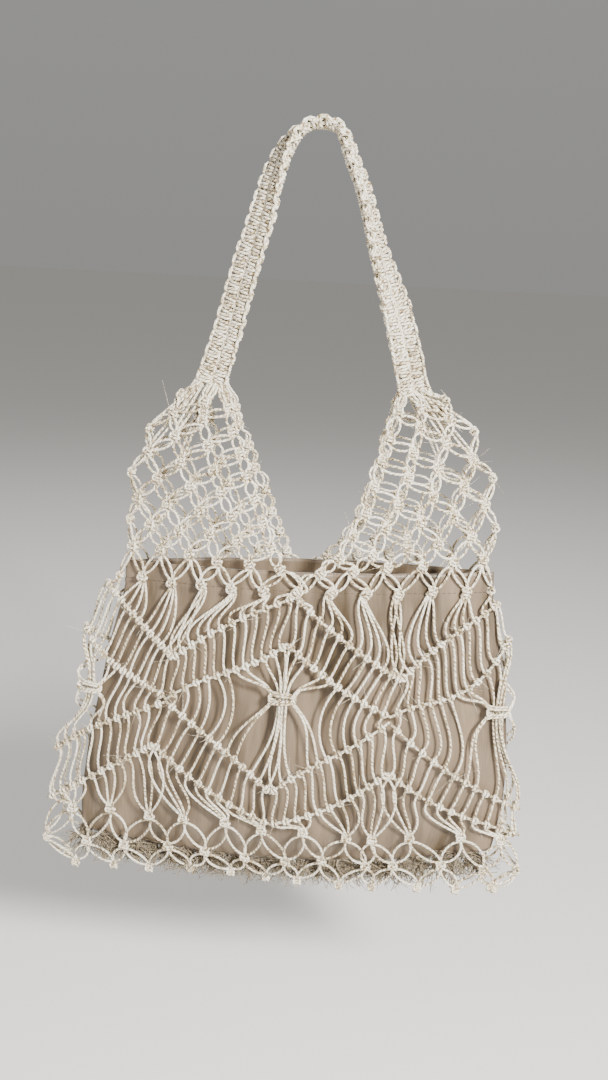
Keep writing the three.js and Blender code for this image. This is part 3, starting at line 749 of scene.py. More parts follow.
def twine_material(name, settings, pale, mid, dark, roughness):
    """Two-ply straw twine, twisted by hand: dull, with fibres that run along each ply, painted shade in
    the groove between the plies and brown flecks where the fibre was left unbleached."""
    material, output = start_material(name)
    tree = material.node_tree
    grain, tone = attribute(tree, "grain"), attribute(tree, "tone", "Fac")
    # The fibres are 0.2 to 0.4 mm thick and run about 8 mm along the twine.
    fibre = noise(tree, grain, (2.4, 2.4, 0.25), 1.6, 3.0, 0.65)
    # Flecks are 2 to 5 mm long.
    fleck = noise(tree, grain, (0.55, 0.55, 0.42), 1.3, 2.5, 0.6)
    spread = node(tree, "ShaderNodeMath", {0: tone, 1: 0.16, 2: -0.08}, operation="MULTIPLY_ADD")
    blotch = node(tree, "ShaderNodeMath", {0: fleck, 1: spread.outputs[0]}, operation="ADD")
    lightest = tuple(min(c * 1.08, 1.0) for c in pale)
    colour = ramp(tree, blotch.outputs[0], (0.34, dark), (0.44, mid), (0.54, pale), (0.75, lightest))
    streak = ramp(tree, fibre, (0.3, 0.62), (0.5, 1.0), (0.8, 1.0))
    across = node(tree, "ShaderNodeSeparateXYZ", {"Vector": grain}).outputs["X"]
    ply = node(tree, "ShaderNodeMath", {0: across}, operation="ABSOLUTE").outputs[0]
    # Painted shade: the colour darkens where the two plies meet, in the groove between them.
    ply_groove_shade = ramp(tree, ply, (0.0, 0.3), (0.4, 0.95), (1.0, 1.0))
    height = node(tree, "ShaderNodeMath", {0: ply, 1: 0.6, 2: fibre}, operation="MULTIPLY_ADD")
    bump = node(tree, "ShaderNodeBump", {"Height": height.outputs[0], "Strength": 0.55, "Distance": 0.0004})
    surface(tree, output, Base_Color=multiplied(tree, multiplied(tree, colour, streak), ply_groove_shade),
            Roughness=roughness, Normal=bump.outputs[0], Sheen_Weight=settings.sheen, Sheen_Roughness=0.6,
            Specular_IOR_Level=0.25)
    return material


def shared_twine():
    """The twine material that every knotted piece wears, made once."""
    settings = bpy.context.scene.straw_bag_twine
    name = "two_ply_straw_twine"
    return bpy.data.materials.get(name) or twine_material(
        name, settings, tuple(settings.pale), tuple(settings.mid), tuple(settings.dark), 0.8)


# Settings, operators and panel


def length_setting(name, description, millimetres):
    """A length that the panel shows."""
    return FloatProperty(name=name, description=description, default=millimetres * MM,
                         unit="LENGTH", precision=5)


def colour_setting(name, description, hex_colour):
    """A colour that the panel shows."""
    return FloatVectorProperty(name=name, description=description, subtype="COLOR", size=3,
                               default=linear(hex_colour))


class StrawBagTwine(bpy.types.PropertyGroup):
    """The twine that the net is knotted from."""

    radius: length_setting("Twine radius", "Half the twine's thickness", 0.98)
    strap_radius: length_setting("Strap twine radius", "Half the strap twine's thickness", 1.05)
    sheen: FloatProperty(name="Fuzz", description="Sheen of the loose fibres", default=0.15)
    seed: IntProperty(name="Seed", description="Which uneven hand-knotted net is made", default=7)
    pale: colour_setting("Pale straw", "Bleached fibre", "F1E8D4")
    mid: colour_setting("Straw", "Unbleached fibre", "CCB992")
    dark: colour_setting("Dark fleck", "Brown bark in the fibre", "755E3D")


class StrawBagPouch(bpy.types.PropertyGroup):
    """The cloth pouch inside the net."""

    wall: length_setting("Cloth thickness", "The pouch cloth with its lining", 1.2)
    fold_depth: length_setting("Fold depth", "How deep the hanging folds are", 10.0)
    hem: length_setting("Hem height", "The band stitched round the mouth", 17.0)
    cloth: colour_setting("Cloth", "Taupe satin-weave cloth", "6C5C49")
    # The colour below is painted shade: the cloth as it looks in the shadow bands of its folds.
    painted_fold_shade: colour_setting("Painted fold shade", "The cloth's colour in the shadow bands of its folds", "463824")
    thread: colour_setting("Hem thread", "The hem's stitching", "3E3226")


class StrawBagStage(bpy.types.PropertyGroup):
    """Floor, light and camera."""

    floor: colour_setting("Floor", "The plain pale floor", "E4E1DC")
    lens: FloatProperty(name="Lens", description="Focal length on a 36 mm sensor", default=39.73,
                        unit="CAMERA")
    azimuth: FloatProperty(name="Azimuth", description="Degrees round from the front", default=4.0)
    elevation: FloatProperty(name="Elevation", description="Degrees above the horizon", default=13.5)
    roll: FloatProperty(name="Roll", description="Degrees the camera is rolled", default=2.85)


class STRAWBAG_OT_strap(bpy.types.Operator):
    """Two columns of square knots side by side, which twist along the strap's line"""

    bl_idname = "strawbag.strap"
    bl_label = "Strap"

    def execute(self, context):
        settings = context.scene.straw_bag_twine
        radius = settings.strap_radius / MM
        rng = np.random.default_rng(settings.seed + 1)
        line, along, face, spread, length = strap_line(900)
        bundle = Bundle()
        knots = round(length[-1] / STRAP_PITCH)
        at = (np.arange(knots) + 0.5) / knots * length[-1]
        # Each knot is drawn wide, so that the two columns' inner edges lie over each other.
        stretch = (STRAP_KNOT_WIDE, STRAP_PITCH / 4 / BAR_HEIGHT, STRAP_KNOT_DEEP * radius)
        template = knot_template(radius, stretch, (20, 22), STRAP_TWIN, fillers=False, sunk=STRAP_SUNK)
        for hand in (-1, 1):
            offset = hand * (STRAP_WIDTH / 4 - STRAP_OVERLAP)
            shift = at + rng.normal(0, STRAP_UNEVEN, knots) + hand * STRAP_PITCH / 8
            read = [np.stack([np.interp(shift, length, part[:, i]) for i in range(3)], -1)
                    for part in (line, along, face, spread)]
            origin = read[0] + read[3] * (offset + rng.normal(0, STRAP_UNEVEN, (knots, 1)))
            # The half turn puts each column's hooked loops on the strap's outer edge.
            frames = frames_of(origin, unit(read[2]), unit(read[1]) * -hand, 0.0, rng, STRAP_TILT)
            bundle.add(*place_copies(template, frames, rng))
            core = line + spread * offset
            bundle.add(*tubes(core[None, ::4], face[None, ::4], radius * CORE_WIDE, radius * CORE_DEEP,
                              rng=rng))
        finish_bundle("strap_cords", bundle, ["handle_strap"])
        return {"FINISHED"}


# The strap's middle line. across: share of half its spread; down: share of its drop; turn: degrees its
# face turns from the front towards the outside of the loop.
STRAP_LINE = listed(
    "across down turn",
    (-1.03, 1.045, 0),
    (-0.84, 0.78, 18),
    (-0.71, 0.56, 25),
    (-0.565, 0.343, 31),
    (-0.49, 0.213, 44),
    (-0.375, 0.076, 62),
    (-0.25, -0.003, 78),
    (-0.125, -0.036, 88),
    (0.0, -0.041, 90),
    (0.11, -0.03, 90),
    (0.19, 0.012, 86),
    (0.26, 0.09, 82),
    (0.372, 0.195, 79),
    (0.469, 0.32, 76),
    (0.56, 0.45, 67),
    (0.669, 0.574, 50),
    (0.82, 0.746, 24),
    (1.03, 1.045, 0),
)


def strap_line(count):
    """The strap's line as count points with its run, face and spread ways and its length so far. It is
    the curve through the listed points, whose slopes allow for how far apart they stand."""
    points = [(row["across"] * STRAP_SPREAD / 2, 0.0, -row["down"] * STRAP_DROP) for row in STRAP_LINE]
    a, b, c, d, t = four_around(points, count)
    before, here, after = (np.linalg.norm(q - p, axis=-1, keepdims=True) ** 0.5
                           for p, q in ((a, b), (b, c), (c, d)))
    start = ((b - a) / before - (c - a) / (before + here) + (c - b) / here) * here
    end = ((c - b) / here - (d - b) / (here + after) + (d - c) / after) * here
    line = b + start * t + (3 * (c - b) - 2 * start - end) * t**2 + (2 * (b - c) + start + end) * t**3
    along = unit(np.gradient(line, axis=0))
    outer = unit(np.cross(along, [0.0, 1.0, 0.0]))
    table = [{"at": k, "turn": row["turn"]} for k, row in enumerate(STRAP_LINE)]
    where = np.linspace(0, len(points) - 1, count)
    turn = np.radians(column(table, "turn")(where))[:, None]
    face = FRONT * np.cos(turn) + outer * np.sin(turn)
    steps = np.linalg.norm(np.diff(line, axis=0), axis=-1)
    length = np.concatenate([[0.0], np.cumsum(steps)])
    return line, along, face, np.cross(along, face), length


class STRAWBAG_OT_shoulders(bpy.types.Operator):
    """The two curved triangles of open net below the strap's feet"""

    bl_idname = "strawbag.shoulders"
    bl_label = "Shoulder nets"

    def execute(self, context):
        settings = context.scene.straw_bag_twine
        radius = settings.radius / MM
        template = knot_template(radius, (radius * KNOT_SIZE,) * 3)
        neck = neck_row(settings)
        for side, name in ((-1, "left"), (1, "right")):
            rng = np.random.default_rng(settings.seed + 10 + side)
            bundle = Bundle()
            places = np.arange(0, 13) if side > 0 else np.arange(12, 25) % PLACES
            rows = [part_of(neck, places)]
            rows += [shoulder_frames(side, row, rng) for row in range(1, SHOULDER_TOP + 1)]
            for number, row in enumerate(rows):
                own = row if number or side < 0 else part_of(row, np.arange(1, 12))
                bundle.add(*place_copies(template, own, rng))
            for low, high in zip(rows, rows[1:]):
                for shift, leans_left in ((0, True), (1, False)):
                    below = part_of(low, np.arange(len(high[0])) + shift)
                    petals(bundle, high, below, radius * KNOT_SIZE, radius, rng, leans_left, SHOULDER_PETAL)
            neck_edges(bundle, rows, radius, rng)
            strap_fan(bundle, rows, side, radius, rng)
            finish_bundle(f"shoulder_cords_{name}", bundle, [f"shoulder_net_{name}"])
        return {"FINISHED"}


def neck_edges(bundle, rows, radius, rng):
    """From each edge knot one more cord bows out past the edge to the next row's edge knot."""
    for low, high in zip(rows, rows[1:]):
        for end in (0, -1):
            outer = 0 if end == 0 else 3
            below, above = part_of(low, [end]), part_of(high, [end])
            start, start_way = ends_of(below, radius * KNOT_SIZE, True, outer)
            finish, end_way = ends_of(above, radius * KNOT_SIZE, False, outer)
            reach = reach_of(start, finish)
            path = bezier(start, start + start_way * reach * 0.5, finish + end_way * reach * 0.5, finish, 11)
            bundle.add(*tubes(path, below[3], radius, rng=rng))


def strap_fan(bundle, rows, side, radius, rng):
    """Cords from the upper knots to the strap's foot, spread evenly over its width, and a few longer
    ones from further down that follow the outer edge."""
    line, along, face, spread, _ = strap_line(200)
    foot = 0 if side < 0 else -1
    middle, run, out = line[foot], along[foot] * -side, face[foot]
    starts, ways = [], []
    for which in range(4):
        point, way = ends_of(rows[SHOULDER_TOP], radius * KNOT_SIZE, True, which)
        starts.append(point)
        ways.append(way)
    for row in (5, 6, 7):
        fold = len(rows[row][0]) // 2
        turn = np.arange(fold - 1, fold + 2)
        for which in (1, 2):
            point, way = ends_of(part_of(rows[row], turn), radius * KNOT_SIZE, True, which)
            starts.append(point + rows[row][3][turn] * 0.9)
            ways.append(way)
    start, way = np.concatenate(starts), np.concatenate(ways)
    # Sorted from the neck's edge outwards, the cords fill the strap's foot from its inner edge.
    order = np.argsort(start[:, 0] * side + start[:, 2] * 0.15)
    start, way = start[order], way[order]
    half = STRAP_WIDTH / 2 - 1.4
    share = np.linspace(-1, 1, len(start))
    layer = np.where(start[:, 1] < 0, 1.0, -1.0)
    end = middle - spread[foot] * (share * half)[:, None] + out * layer[:, None] + run * 7.0
    reach = reach_of(start, end)
    path = bezier(start, start + way * np.minimum(reach * 0.3, 7.0), end - run * reach * 0.4, end, 20)
    outs = np.broadcast_to(out, start.shape) * layer[:, None]
    bundle.add(*tubes(path, outs, radius, rng=rng))


class STRAWBAG_OT_ridges(bpy.types.Operator):
    """The four ridges of double half hitches and the strings that hang between them"""

    bl_idname = "strawbag.ridges"
    bl_label = "Ridges"

    def execute(self, context):
        settings = context.scene.straw_bag_twine
        radius = settings.radius / MM
        upper, second, third, lower = (hitch_frames(r) for r in (UPPER, SECOND, THIRD, LOWER))

        rng = np.random.default_rng(settings.seed + 20)
        bundle = Bundle()
        knots = part_of(neck_row(settings), (np.arange(PLACES) + 18) % PLACES)
        for cord in range(4):
            start, way = ends_of(knots, radius * KNOT_SIZE, False, cord)
            hitch = (np.arange(PLACES) * 4 - 2 + cord) % (PLACES * 4)
            below = part_of(upper, hitch)
            end = below[0] + below[2] * radius * HITCH_REACH - below[1] * 1.0
            reach = reach_of(start, end)
            way = unit(way * 0.5 + (end - start) / reach)
            bow = 0.36 if cord in (0, 3) else 0.2
            path = bezier(start - way * 0.8, start + way * reach * bow,
                          end + below[2] * reach * 0.35, end, 22)
            bundle.add(*tubes(path, unit(knots[3] + below[3]), radius, rng=rng))
        add_ridge(bundle, UPPER, radius, rng)
        finish_bundle("upper_ridge_cords", bundle, ["upper_ridge"])

        for step, name, above, below, ridges, rings in (
            (21, "diamond_ridge", upper, second, (SECOND, THIRD), 18),
            (22, "lower_ridge", third, lower, (LOWER,), 20),
        ):
            rng = np.random.default_rng(settings.seed + step)
            bundle = Bundle()
            strings(bundle, above, below, radius, rng, SLACK, rings)
            for ridge in ridges:
                add_ridge(bundle, ridge, radius, rng)
            finish_bundle(f"{name}_cords", bundle, [name])
        return {"FINISHED"}


# Each diamond's knot, and the first of the 24 hitches that hang over it.
SHEAVES = listed(
    "name place z first",
    ("left", -5.25, -417.0, -12),
    ("front", -0.11, -405.0, 12),
    ("right", 5.45, -413.0, 36),
    ("back", 12.0, -410.0, 60),
)
GATHERED = 6  # strings to each side of the middle that the sheaf's knot draws in
TYING = 4  # from this string outwards, they tie the knot and the others pass through it
# The wide square knot of a sheaf, in millimetres, as the net's knots are listed.
SHEAF_FRONT_CORD = [
    (-12.0, 7.5, 0.3), (-8.6, 3.9, 1.2), (-4.5, 3.2, 3.2), (0.0, 3.0, 3.7), (4.5, 2.7, 3.3), (8.6, 1.7, 1.6),
    (9.4, 0.0, 0.2), (8.6, -1.7, 1.6), (4.5, -2.7, 3.3), (0.0, -3.0, 3.7), (-4.5, -3.2, 3.2),
    (-8.6, -4.2, 1.2), (-11.0, -7.5, 0.3),
]
SHEAF_BACK_CORD = [
    (12.0, 7.0, 0.3), (9.0, 3.6, 2.6), (7.6, 1.0, 0.8), (3.5, 1.5, -2.6), (-3.5, 2.0, -2.6), (-8.0, 2.4, 0.4),
    (-9.6, 1.2, 2.6), (-10.0, 0.0, 3.1), (-9.6, -1.2, 2.6), (-8.0, -2.4, 0.4), (-3.5, -2.0, -2.6),
    (3.5, -1.5, -2.6), (7.6, -1.0, 0.8), (9.0, -3.8, 2.6), (11.0, -7.5, 0.3),
]
SHEAF_TWIN = 1.0  # half the distance between the two strings that make each bar


class STRAWBAG_OT_sheaves(bpy.types.Operator):
    """The strings of each diamond, whose middle ones are drawn together by one square knot"""

    bl_idname = "strawbag.sheaves"
    bl_label = "Diamond strings"

    def execute(self, context):
        settings = context.scene.straw_bag_twine
        radius = settings.radius / MM
        second, third = hitch_frames(SECOND), hitch_frames(THIRD)
        for sheaf in SHEAVES:
            rng = np.random.default_rng(settings.seed + 30 + sheaf["first"] % 97)
            bundle = Bundle()
            hitch = (sheaf["first"] + np.arange(24)) % (PLACES * 4)
            above, below = part_of(second, hitch), part_of(third, hitch)
            order = np.arange(24) - 11.5
            free = np.abs(order) > GATHERED
            strings(bundle, part_of(above, free), part_of(below, free), radius, rng, SHEAF_SLACK, 30, 1.2)
            at = np.array([sheaf["place"]]), np.array([sheaf["z"]])
            knot = tuple(part[0] for part in frames_of(net_point(*at), net_normal(*at), UP[None], 3.2))
            self.tie(bundle, knot, radius, rng)
            for hitches, way in ((above, 1), (below, -1)):
                self.gather(bundle, hitches, knot, order, radius, rng, way)
            finish_bundle(f"sheaf_cords_{sheaf['name']}", bundle, [f"sheaf_{sheaf['name']}"])
        return {"FINISHED"}

    @staticmethod
    def tie(bundle, knot, radius, rng):
        """The knot itself: each tying cord is two strings side by side."""
        origin, right, up, out = knot
        for points in (SHEAF_FRONT_CORD, SHEAF_BACK_CORD):
            local = through(points, 40)
            for shift in (-SHEAF_TWIN, SHEAF_TWIN):
                moved = local + np.array([0.0, shift, 0.0])
                path = origin + moved @ np.stack([right, up, out])
                away = around_middle(moved) @ np.stack([right, up, out])
                bundle.add(*tubes(path[None], away[None], radius, rng=rng))

    @staticmethod
    def gather(bundle, hitches, knot, order, radius, rng, way):
        """Strings between one ridge and the knot. The inner ones lie packed in two layers through the
        knot and fan out to their hitches; the outer two of each side run into the tying cords."""
        origin, right, up, out = knot
        for tying in (True, False):
            near = np.abs(order) < GATHERED
            own = near & (np.abs(order) > TYING - 0.5) if tying else near & (np.abs(order) < TYING - 0.5)
            rank, these = order[own], part_of(hitches, own)
            hitch = these[0] - these[2] * way * radius * HITCH_REACH
            if tying:
                corner = np.array((SHEAF_FRONT_CORD[0] if way > 0 else SHEAF_FRONT_CORD[-1]))
                twin = np.where(np.abs(rank) > TYING + 1, -way, way) * SHEAF_TWIN
                packed = (origin + right * (np.sign(rank) * abs(corner[0]))[:, None]
                          + up * (corner[1] + twin)[:, None] + out * corner[2])
                leave = unit(right * (np.sign(rank) * 0.75)[:, None] + up * way * 0.8)
                reach = reach_of(packed, hitch)
                bow = 0.25 if way > 0 else 0.4
                path = bezier(packed - leave * 0.8, packed + leave * reach * bow,
                              hitch - (these[2] * 0.4 + up * 0.6) * way * reach * bow, hitch, 26)
            else:
                layer = np.where(np.arange(len(rank)) % 2, 1.0, -1.2)
                packed = origin + right * (rank * 1.25)[:, None] + out * layer[:, None] - up * way * 1.0
                reach = reach_of(packed, hitch)
                loose = right * rng.normal(0, 0.8, (len(rank), 1))
                path = bezier(packed, packed + up * way * reach * 0.5 + loose,
                              hitch - (these[2] * 0.5 + up * 0.5) * way * reach * 0.3 + loose, hitch, 30)
            bundle.add(*tubes(path, np.broadcast_to(out, packed.shape), radius, rng=rng))


# The three rows of knots below the lower ridge: where their front knots sit, from the left side to the
# right, as places and heights. On the back they sit evenly, from the place after last and at back_z.
BASE_ROWS = [
    {
        "place": [-5.2, -4.1, -3.05, -2.2, -1.2, -0.35, 0.6, 1.6, 2.2, 3.1, 4.4, 5.5],
        "z": [-524, -518, -519, -517, -516, -520, -519, -522, -523, -520, -519, -523], "back_z": -520.0,
    },
    {
        "place": [-6.0, -4.8, -3.75, -2.6, -1.7, -0.75, 0.2, 1.05, 2.1, 2.75, 3.95, 5.1, 6.0],
        "z": [-552, -551, -550, -546, -547, -549, -550, -546, -549, -547, -545, -548, -548], "back_z": -547.0,
    },
    {
        "place": [-5.2, -4.1, -3.15, -2.1, -1.1, -0.25, 0.5, 1.5, 2.3, 3.45, 4.45, 5.4],
        "z": [-572, -571, -571, -568, -568, -570, -571, -572, -571, -569, -568, -563], "back_z": -569.0,
    },
]


def base_frames(row, rng):
    """The frames of one base row's 24 knots, from the left side round the front and back again."""
    table = BASE_ROWS[row]
    front = len(table["place"])
    first = -6.0 if front > PLACES // 2 else -5.5
    back = first + np.arange(front, PLACES)
    place = np.concatenate([table["place"], back + rng.normal(0, 0.09, len(back))])
    z = np.concatenate([table["z"], table["back_z"] + rng.normal(0, 1.3, len(back))])
    return frames_of(net_point(place, z), net_normal(place, z), UP[None], KNOT_LIFT, rng, 0.15)


class STRAWBAG_OT_base(bpy.types.Operator):
    """The rows of knots that close the bag along its bottom"""

    bl_idname = "strawbag.base"
    bl_label = "Base net"

    def execute(self, context):
        settings = context.scene.straw_bag_twine
        radius = settings.radius / MM
        rng = np.random.default_rng(settings.seed + 40)
        template = knot_template(radius, (radius * KNOT_SIZE,) * 3)
        small = knot_template(radius * 0.95, (radius * 0.9, radius * 0.85, radius * 0.8), (20, 24))
        rows = [base_frames(row, rng) for row in range(len(BASE_ROWS))]
        bundle = Bundle()
        for row in rows[:2]:
            bundle.add(*place_copies(template, row, rng))
        bundle.add(*place_copies(small, rows[2], rng))
        lower = hitch_frames(LOWER)
        for cord in range(4):
            above = part_of(lower, np.arange(PLACES) * 4 + cord)
            end, way = ends_of(rows[0], radius * KNOT_SIZE, True, cord)
            start = above[0] - above[2] * radius * HITCH_REACH
            reach = reach_of(start, end)
            way = unit(way + (start - end) / reach * 0.5)
            bow = 0.5 if cord in (0, 3) else 0.25
            path = bezier(start, start - above[2] * reach * 0.3, end + way * reach * bow, end - way * 0.8, 22)
            bundle.add(*tubes(path, unit(above[3] + rows[0][3]), radius, rng=rng))
        left = np.arange(PLACES)
        for high, low, shift, width in ((0, 1, 0, BASE_PETAL), (1, 2, -1, LOOP_PETAL)):
            for further, leans_left in ((0, True), (1, False)):
                below = part_of(rows[low], (left + shift + further) % PLACES)
                petals(bundle, rows[high], below, radius * KNOT_SIZE, radius, rng, leans_left, width, 13)
        finish_bundle("base_net_cords", bundle, ["base_net"])
        return {"FINISHED"}


# thick: the fibre's radius in millimetres; many: how many fibres.
TUFT_FIBRES = listed("thick many", (0.6, 500), (0.36, 1300), (0.2, 700))
TUFTS = 24
TUFT_LONG = (9, 24)
TUFT_LOW = -573.0
TUFT_LEFT, TUFT_RIGHT = -172.0, 152.0


class STRAWBAG_OT_frayed(bpy.types.Operator):
    """The cut and frayed ends of the cords, in tufts between the pouch's seam and the base knots"""

    bl_idname = "strawbag.frayed"
    bl_label = "Frayed ends"

    def execute(self, context):
        settings = context.scene.straw_bag_twine
        rng = np.random.default_rng(settings.seed + 50)
        bundle = Bundle()
        for size in TUFT_FIBRES:
            many = size["many"]
            tuft = rng.integers(0, TUFTS, many)
            x = mix(TUFT_LEFT, TUFT_RIGHT, (tuft + 0.5) / TUFTS) + rng.normal(0, 3.2, many)
            z = POUCH_BOTTOM - seam_sag(x) + 3 - rng.uniform(0, 11, many)
            root = np.stack([x, rng.normal(-1.0, 2.6, many), z], -1)
            lean = rng.normal(0, 0.8, many) + (tuft % 2 - 0.5) * 0.5
            way = np.stack([np.sin(lean), rng.normal(-0.05, 0.2, many), -np.abs(np.cos(lean)) * 0.85], -1)
            long = rng.uniform(*TUFT_LONG, (many, 1))
            bend = rng.normal(0, 0.32, (many, 3)) * long * np.array([1.0, 0.3, 0.6])
            tip = root + way * long
            tip[:, 2] = np.maximum(tip[:, 2], TUFT_LOW + rng.normal(0, 2.0, many))
            path = bezier(root, root + way * long * 0.3 + bend * 0.4, root + way * long * 0.7 + bend, tip, 6)
            outs = np.broadcast_to(FRONT, root.shape)
            bundle.add(*tubes(path, outs, size["thick"], sides=4, plies=False, taper=0.55, rng=rng))
        # The same straw twine as the cords in much darker colours: painted shade for the tufts that hang
        # under the pouch.
        material = twine_material("frayed_straw_fibre_painted_shade", settings,
                                  linear("A39377"), linear("74644A"), linear("3D3121"), 0.85)
        finish_bundle("frayed_fibres", bundle, ["frayed_ends"], material)
        return {"FINISHED"}


# Pouch

# at: share of the pouch's height from the mouth down; left and right: where its sides hang, in
# millimetres; deep: share of the room inside the net; fold: share of the fold depth.
POUCH_ROWS = listed(
    "at left right deep fold",
    (0.0, -135, 142, 0.93, 0.3),
    (0.06, -136, 143, 0.95, 0.3),
    (0.12, -138, 146, 0.93, 0.6),
    (0.28, -147, 154, 0.9, 1.0),
    (0.46, -155, 161, 0.9, 1.0),
    (0.64, -163, 165, 0.9, 1.0),
    (0.8, -168, 165, 0.9, 0.8),
    (0.9, -170, 163, 0.82, 0.5),
    (1.0, -169, 159, 0.22, 0.12),
)
POUCH_SAG = 14.0  # how far the bottom's middle hangs below its level at the sides
POUCH_SAG_AT = -28.0
POUCH_TOP = -311.0
POUCH_BOTTOM = -541.0
POUCH_EVEN = 0.8
POUCH_CLEARANCE = 1.9  # between the pouch and the net's middle sheet
MOUTH_TIP = 5.0  # how far the mouth's right end is raised
HEM_OUT = 1.7
SEAM_LEVEL = 0.86  # where the hem is stitched, as a share of its height
GROOVE = 0.8
HEM_EDGE = 0.006  # over which the hem's step and groove are rounded, as a share of the pouch's height
STITCH_LONG, STITCH_EVERY, THREAD_RADIUS = 3.0, 4.5, 0.28
POUCH_SIDES = 360
POUCH_RINGS = 84
CREASE_SHARPNESS = 2.2  # power that narrows the folds' valleys
# Folds as waves round the pouch. count: waves round it; share: of the fold depth; drift: how far the
# wave turns on its way down; phase: where it starts.
POUCH_WAVES = listed(
    "count share drift phase",
    (11, 0.4, 1.6, 0.4),
    (17, 0.3, -2.4, 2.1),
    (26, 0.19, 3.4, 4.0),
    (41, 0.11, -4.5, 1.2),
)


def seam_sag(x):
    """How far the pouch's bottom seam hangs below its level at the sides: a parabola round its lowest
    point, which lies left of the middle."""
    return POUCH_SAG * np.clip(1 - ((x - POUCH_SAG_AT) / 150) ** 2, -0.8, 1)


def pouch_point(turn, share, inset, settings):
    """The pouch's wall: a section as wide and deep as its row says, less the inset, dented by the sum of
    its fold waves; the mouth is tipped up towards the right."""
    rows = {name: column(POUCH_ROWS, name) for name in ("left", "right", "deep", "fold")}
    z = mix(POUCH_TOP, POUCH_BOTTOM, share)
    level = level_of(z)
    angle = turn * 2 * np.pi
    across = (1 - POUCH_EVEN) * np.sin(angle) + POUCH_EVEN * sideways(turn * PLACES)
    wave = sum(w["share"] * (0.5 - 0.5 * np.cos(w["count"] * angle + w["phase"] + w["drift"] * share * 2))
               ** CREASE_SHARPNESS for w in POUCH_WAVES)
    depth = settings.fold_depth / MM * rows["fold"](share) * wave
    room = BAG_DEPTH / 2 * section["deep"](level) - POUCH_CLEARANCE
    half_depth = np.maximum(room * rows["deep"](share) - inset - depth, 1.0)
    left, right = rows["left"](share), rows["right"](share)
    x = (left + right) / 2 + ((right - left) / 2 - inset) * across
    tip = MOUTH_TIP * (1 - share) ** 3 * x / (NECK_WIDTH / 2)
    return np.stack([x, -half_depth * np.cos(angle), z + tip - seam_sag(x) * share**3], -1)


class STRAWBAG_OT_pouch(bpy.types.Operator):
    """The cloth pouch, with its hanging folds, its hem and its stitching"""

    bl_idname = "strawbag.pouch"
    bl_label = "Cloth pouch"

    def execute(self, context):
        settings = context.scene.straw_bag_pouch
        height = POUCH_TOP - POUCH_BOTTOM
        hem = settings.hem / MM / height
        down = np.linspace(0, 1, POUCH_RINGS)
        turn = np.arange(POUCH_SIDES) / POUCH_SIDES
        hem_out = HEM_OUT * np.clip((hem - down) / HEM_EDGE, -1, 0) + HEM_OUT
        groove = GROOVE * np.exp(-(((down - hem * SEAM_LEVEL) / HEM_EDGE) ** 2))
        thin = settings.wall / MM
        outside = pouch_point(turn[None, :], down[:, None], (groove - hem_out * 0.5)[:, None], settings)
        inside = pouch_point(turn[None, :], down[::-1, None], thin, settings)
        inside[:, :, 2] += thin * (down[::-1, None] > 0.5)
        corners = np.concatenate([outside, inside])
        rings = len(corners)
        r, k = np.meshgrid(np.arange(rings), np.arange(POUCH_SIDES), indexing="ij")
        keep = r != POUCH_RINGS - 1
        r, k = r[keep], k[keep]
        below, beside = (r + 1) % rings, (k + 1) % POUCH_SIDES
        quads = np.stack([r * POUCH_SIDES + k, below * POUCH_SIDES + k,
                          below * POUCH_SIDES + beside, r * POUCH_SIDES + beside], -1)
        floor = self.floor_strips(POUCH_RINGS - 1, True)
        lid = self.floor_strips(POUCH_RINGS, False)
        flat_turn = np.broadcast_to(turn[None, :], (rings, POUCH_SIDES))
        both = np.concatenate([down, down[::-1]])[:, None]
        girth = 2 * BASE_WIDTH * 0.8
        cloth_uv = np.stack([np.cos(flat_turn * 2 * np.pi) * girth / (2 * np.pi),
                             np.sin(flat_turn * 2 * np.pi) * girth / (2 * np.pi),
                             np.broadcast_to(both * height, flat_turn.shape)], -1)
        piece = make_mesh(
            "pouch_cloth", corners.reshape(-1, 3), np.concatenate([quads, floor[0], lid[0]]),
            np.concatenate([floor[1], lid[1]]), [("weave", "FLOAT_VECTOR", cloth_uv.reshape(-1, 3))])
        piece.data.materials.append(cloth_material(settings))
        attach(piece, BODY)
        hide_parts("lining_pouch")
        stitches = self.stitches(hem * SEAM_LEVEL, settings)
        return {"FINISHED"}

    @staticmethod
    def floor_strips(ring, outside):
        """Strips from front to back that close one ring along the bottom, laid from the right end."""
        half = POUCH_SIDES // 2
        i = np.arange(half)
        start = POUCH_SIDES // 4 + POUCH_SIDES
        a, b, c, d = (ring * POUCH_SIDES + (start + part) % POUCH_SIDES for part in (i, i + 1, -i - 1, -i))
        quads = np.stack([a, d, c, b] if outside else [a, b, c, d], -1)[1:-1]
        first = [a[0], c[0], b[0]] if outside else [a[0], b[0], c[0]]
        last = [a[-1], d[-1], b[-1]] if outside else [a[-1], b[-1], d[-1]]
        return quads, np.array([first, last])

    @staticmethod
    def stitches(share, settings):
        """Running stitches of hem thread, laid along the groove near the hem's lower edge."""
        girth = 2 * NECK_WIDTH
        many = int(girth / STITCH_EVERY)
        turn = np.arange(many)[:, None] / many + np.linspace(0, STITCH_LONG / girth, 5)[None, :]
        path = pouch_point(turn, np.full(turn.shape, share), 0.0, settings)
        away = path * np.array([0.15, 1.0, 0.0])
        bundle = Bundle()
        bundle.add(*tubes(path + unit(away) * 0.15, unit(away), THREAD_RADIUS, sides=5, plies=False))
        material, output = start_material("hem_sewing_thread")
        tree = material.node_tree
        # Sewing thread is twisted about once a millimetre, drawn as light and dark bands.
        bands = noise(tree, attribute(tree, "grain"), (1.0, 1.0, 1.0), 1.8, 1.0)
        shade = tuple(settings.thread)
        colour = ramp(tree, bands, (0.35, tuple(c * 0.6 for c in shade)), (0.65, shade))
        surface(tree, output, Base_Color=colour, Roughness=0.7, Specular_IOR_Level=0.3)
        return finish_bundle("hem_stitches", bundle, material=material)


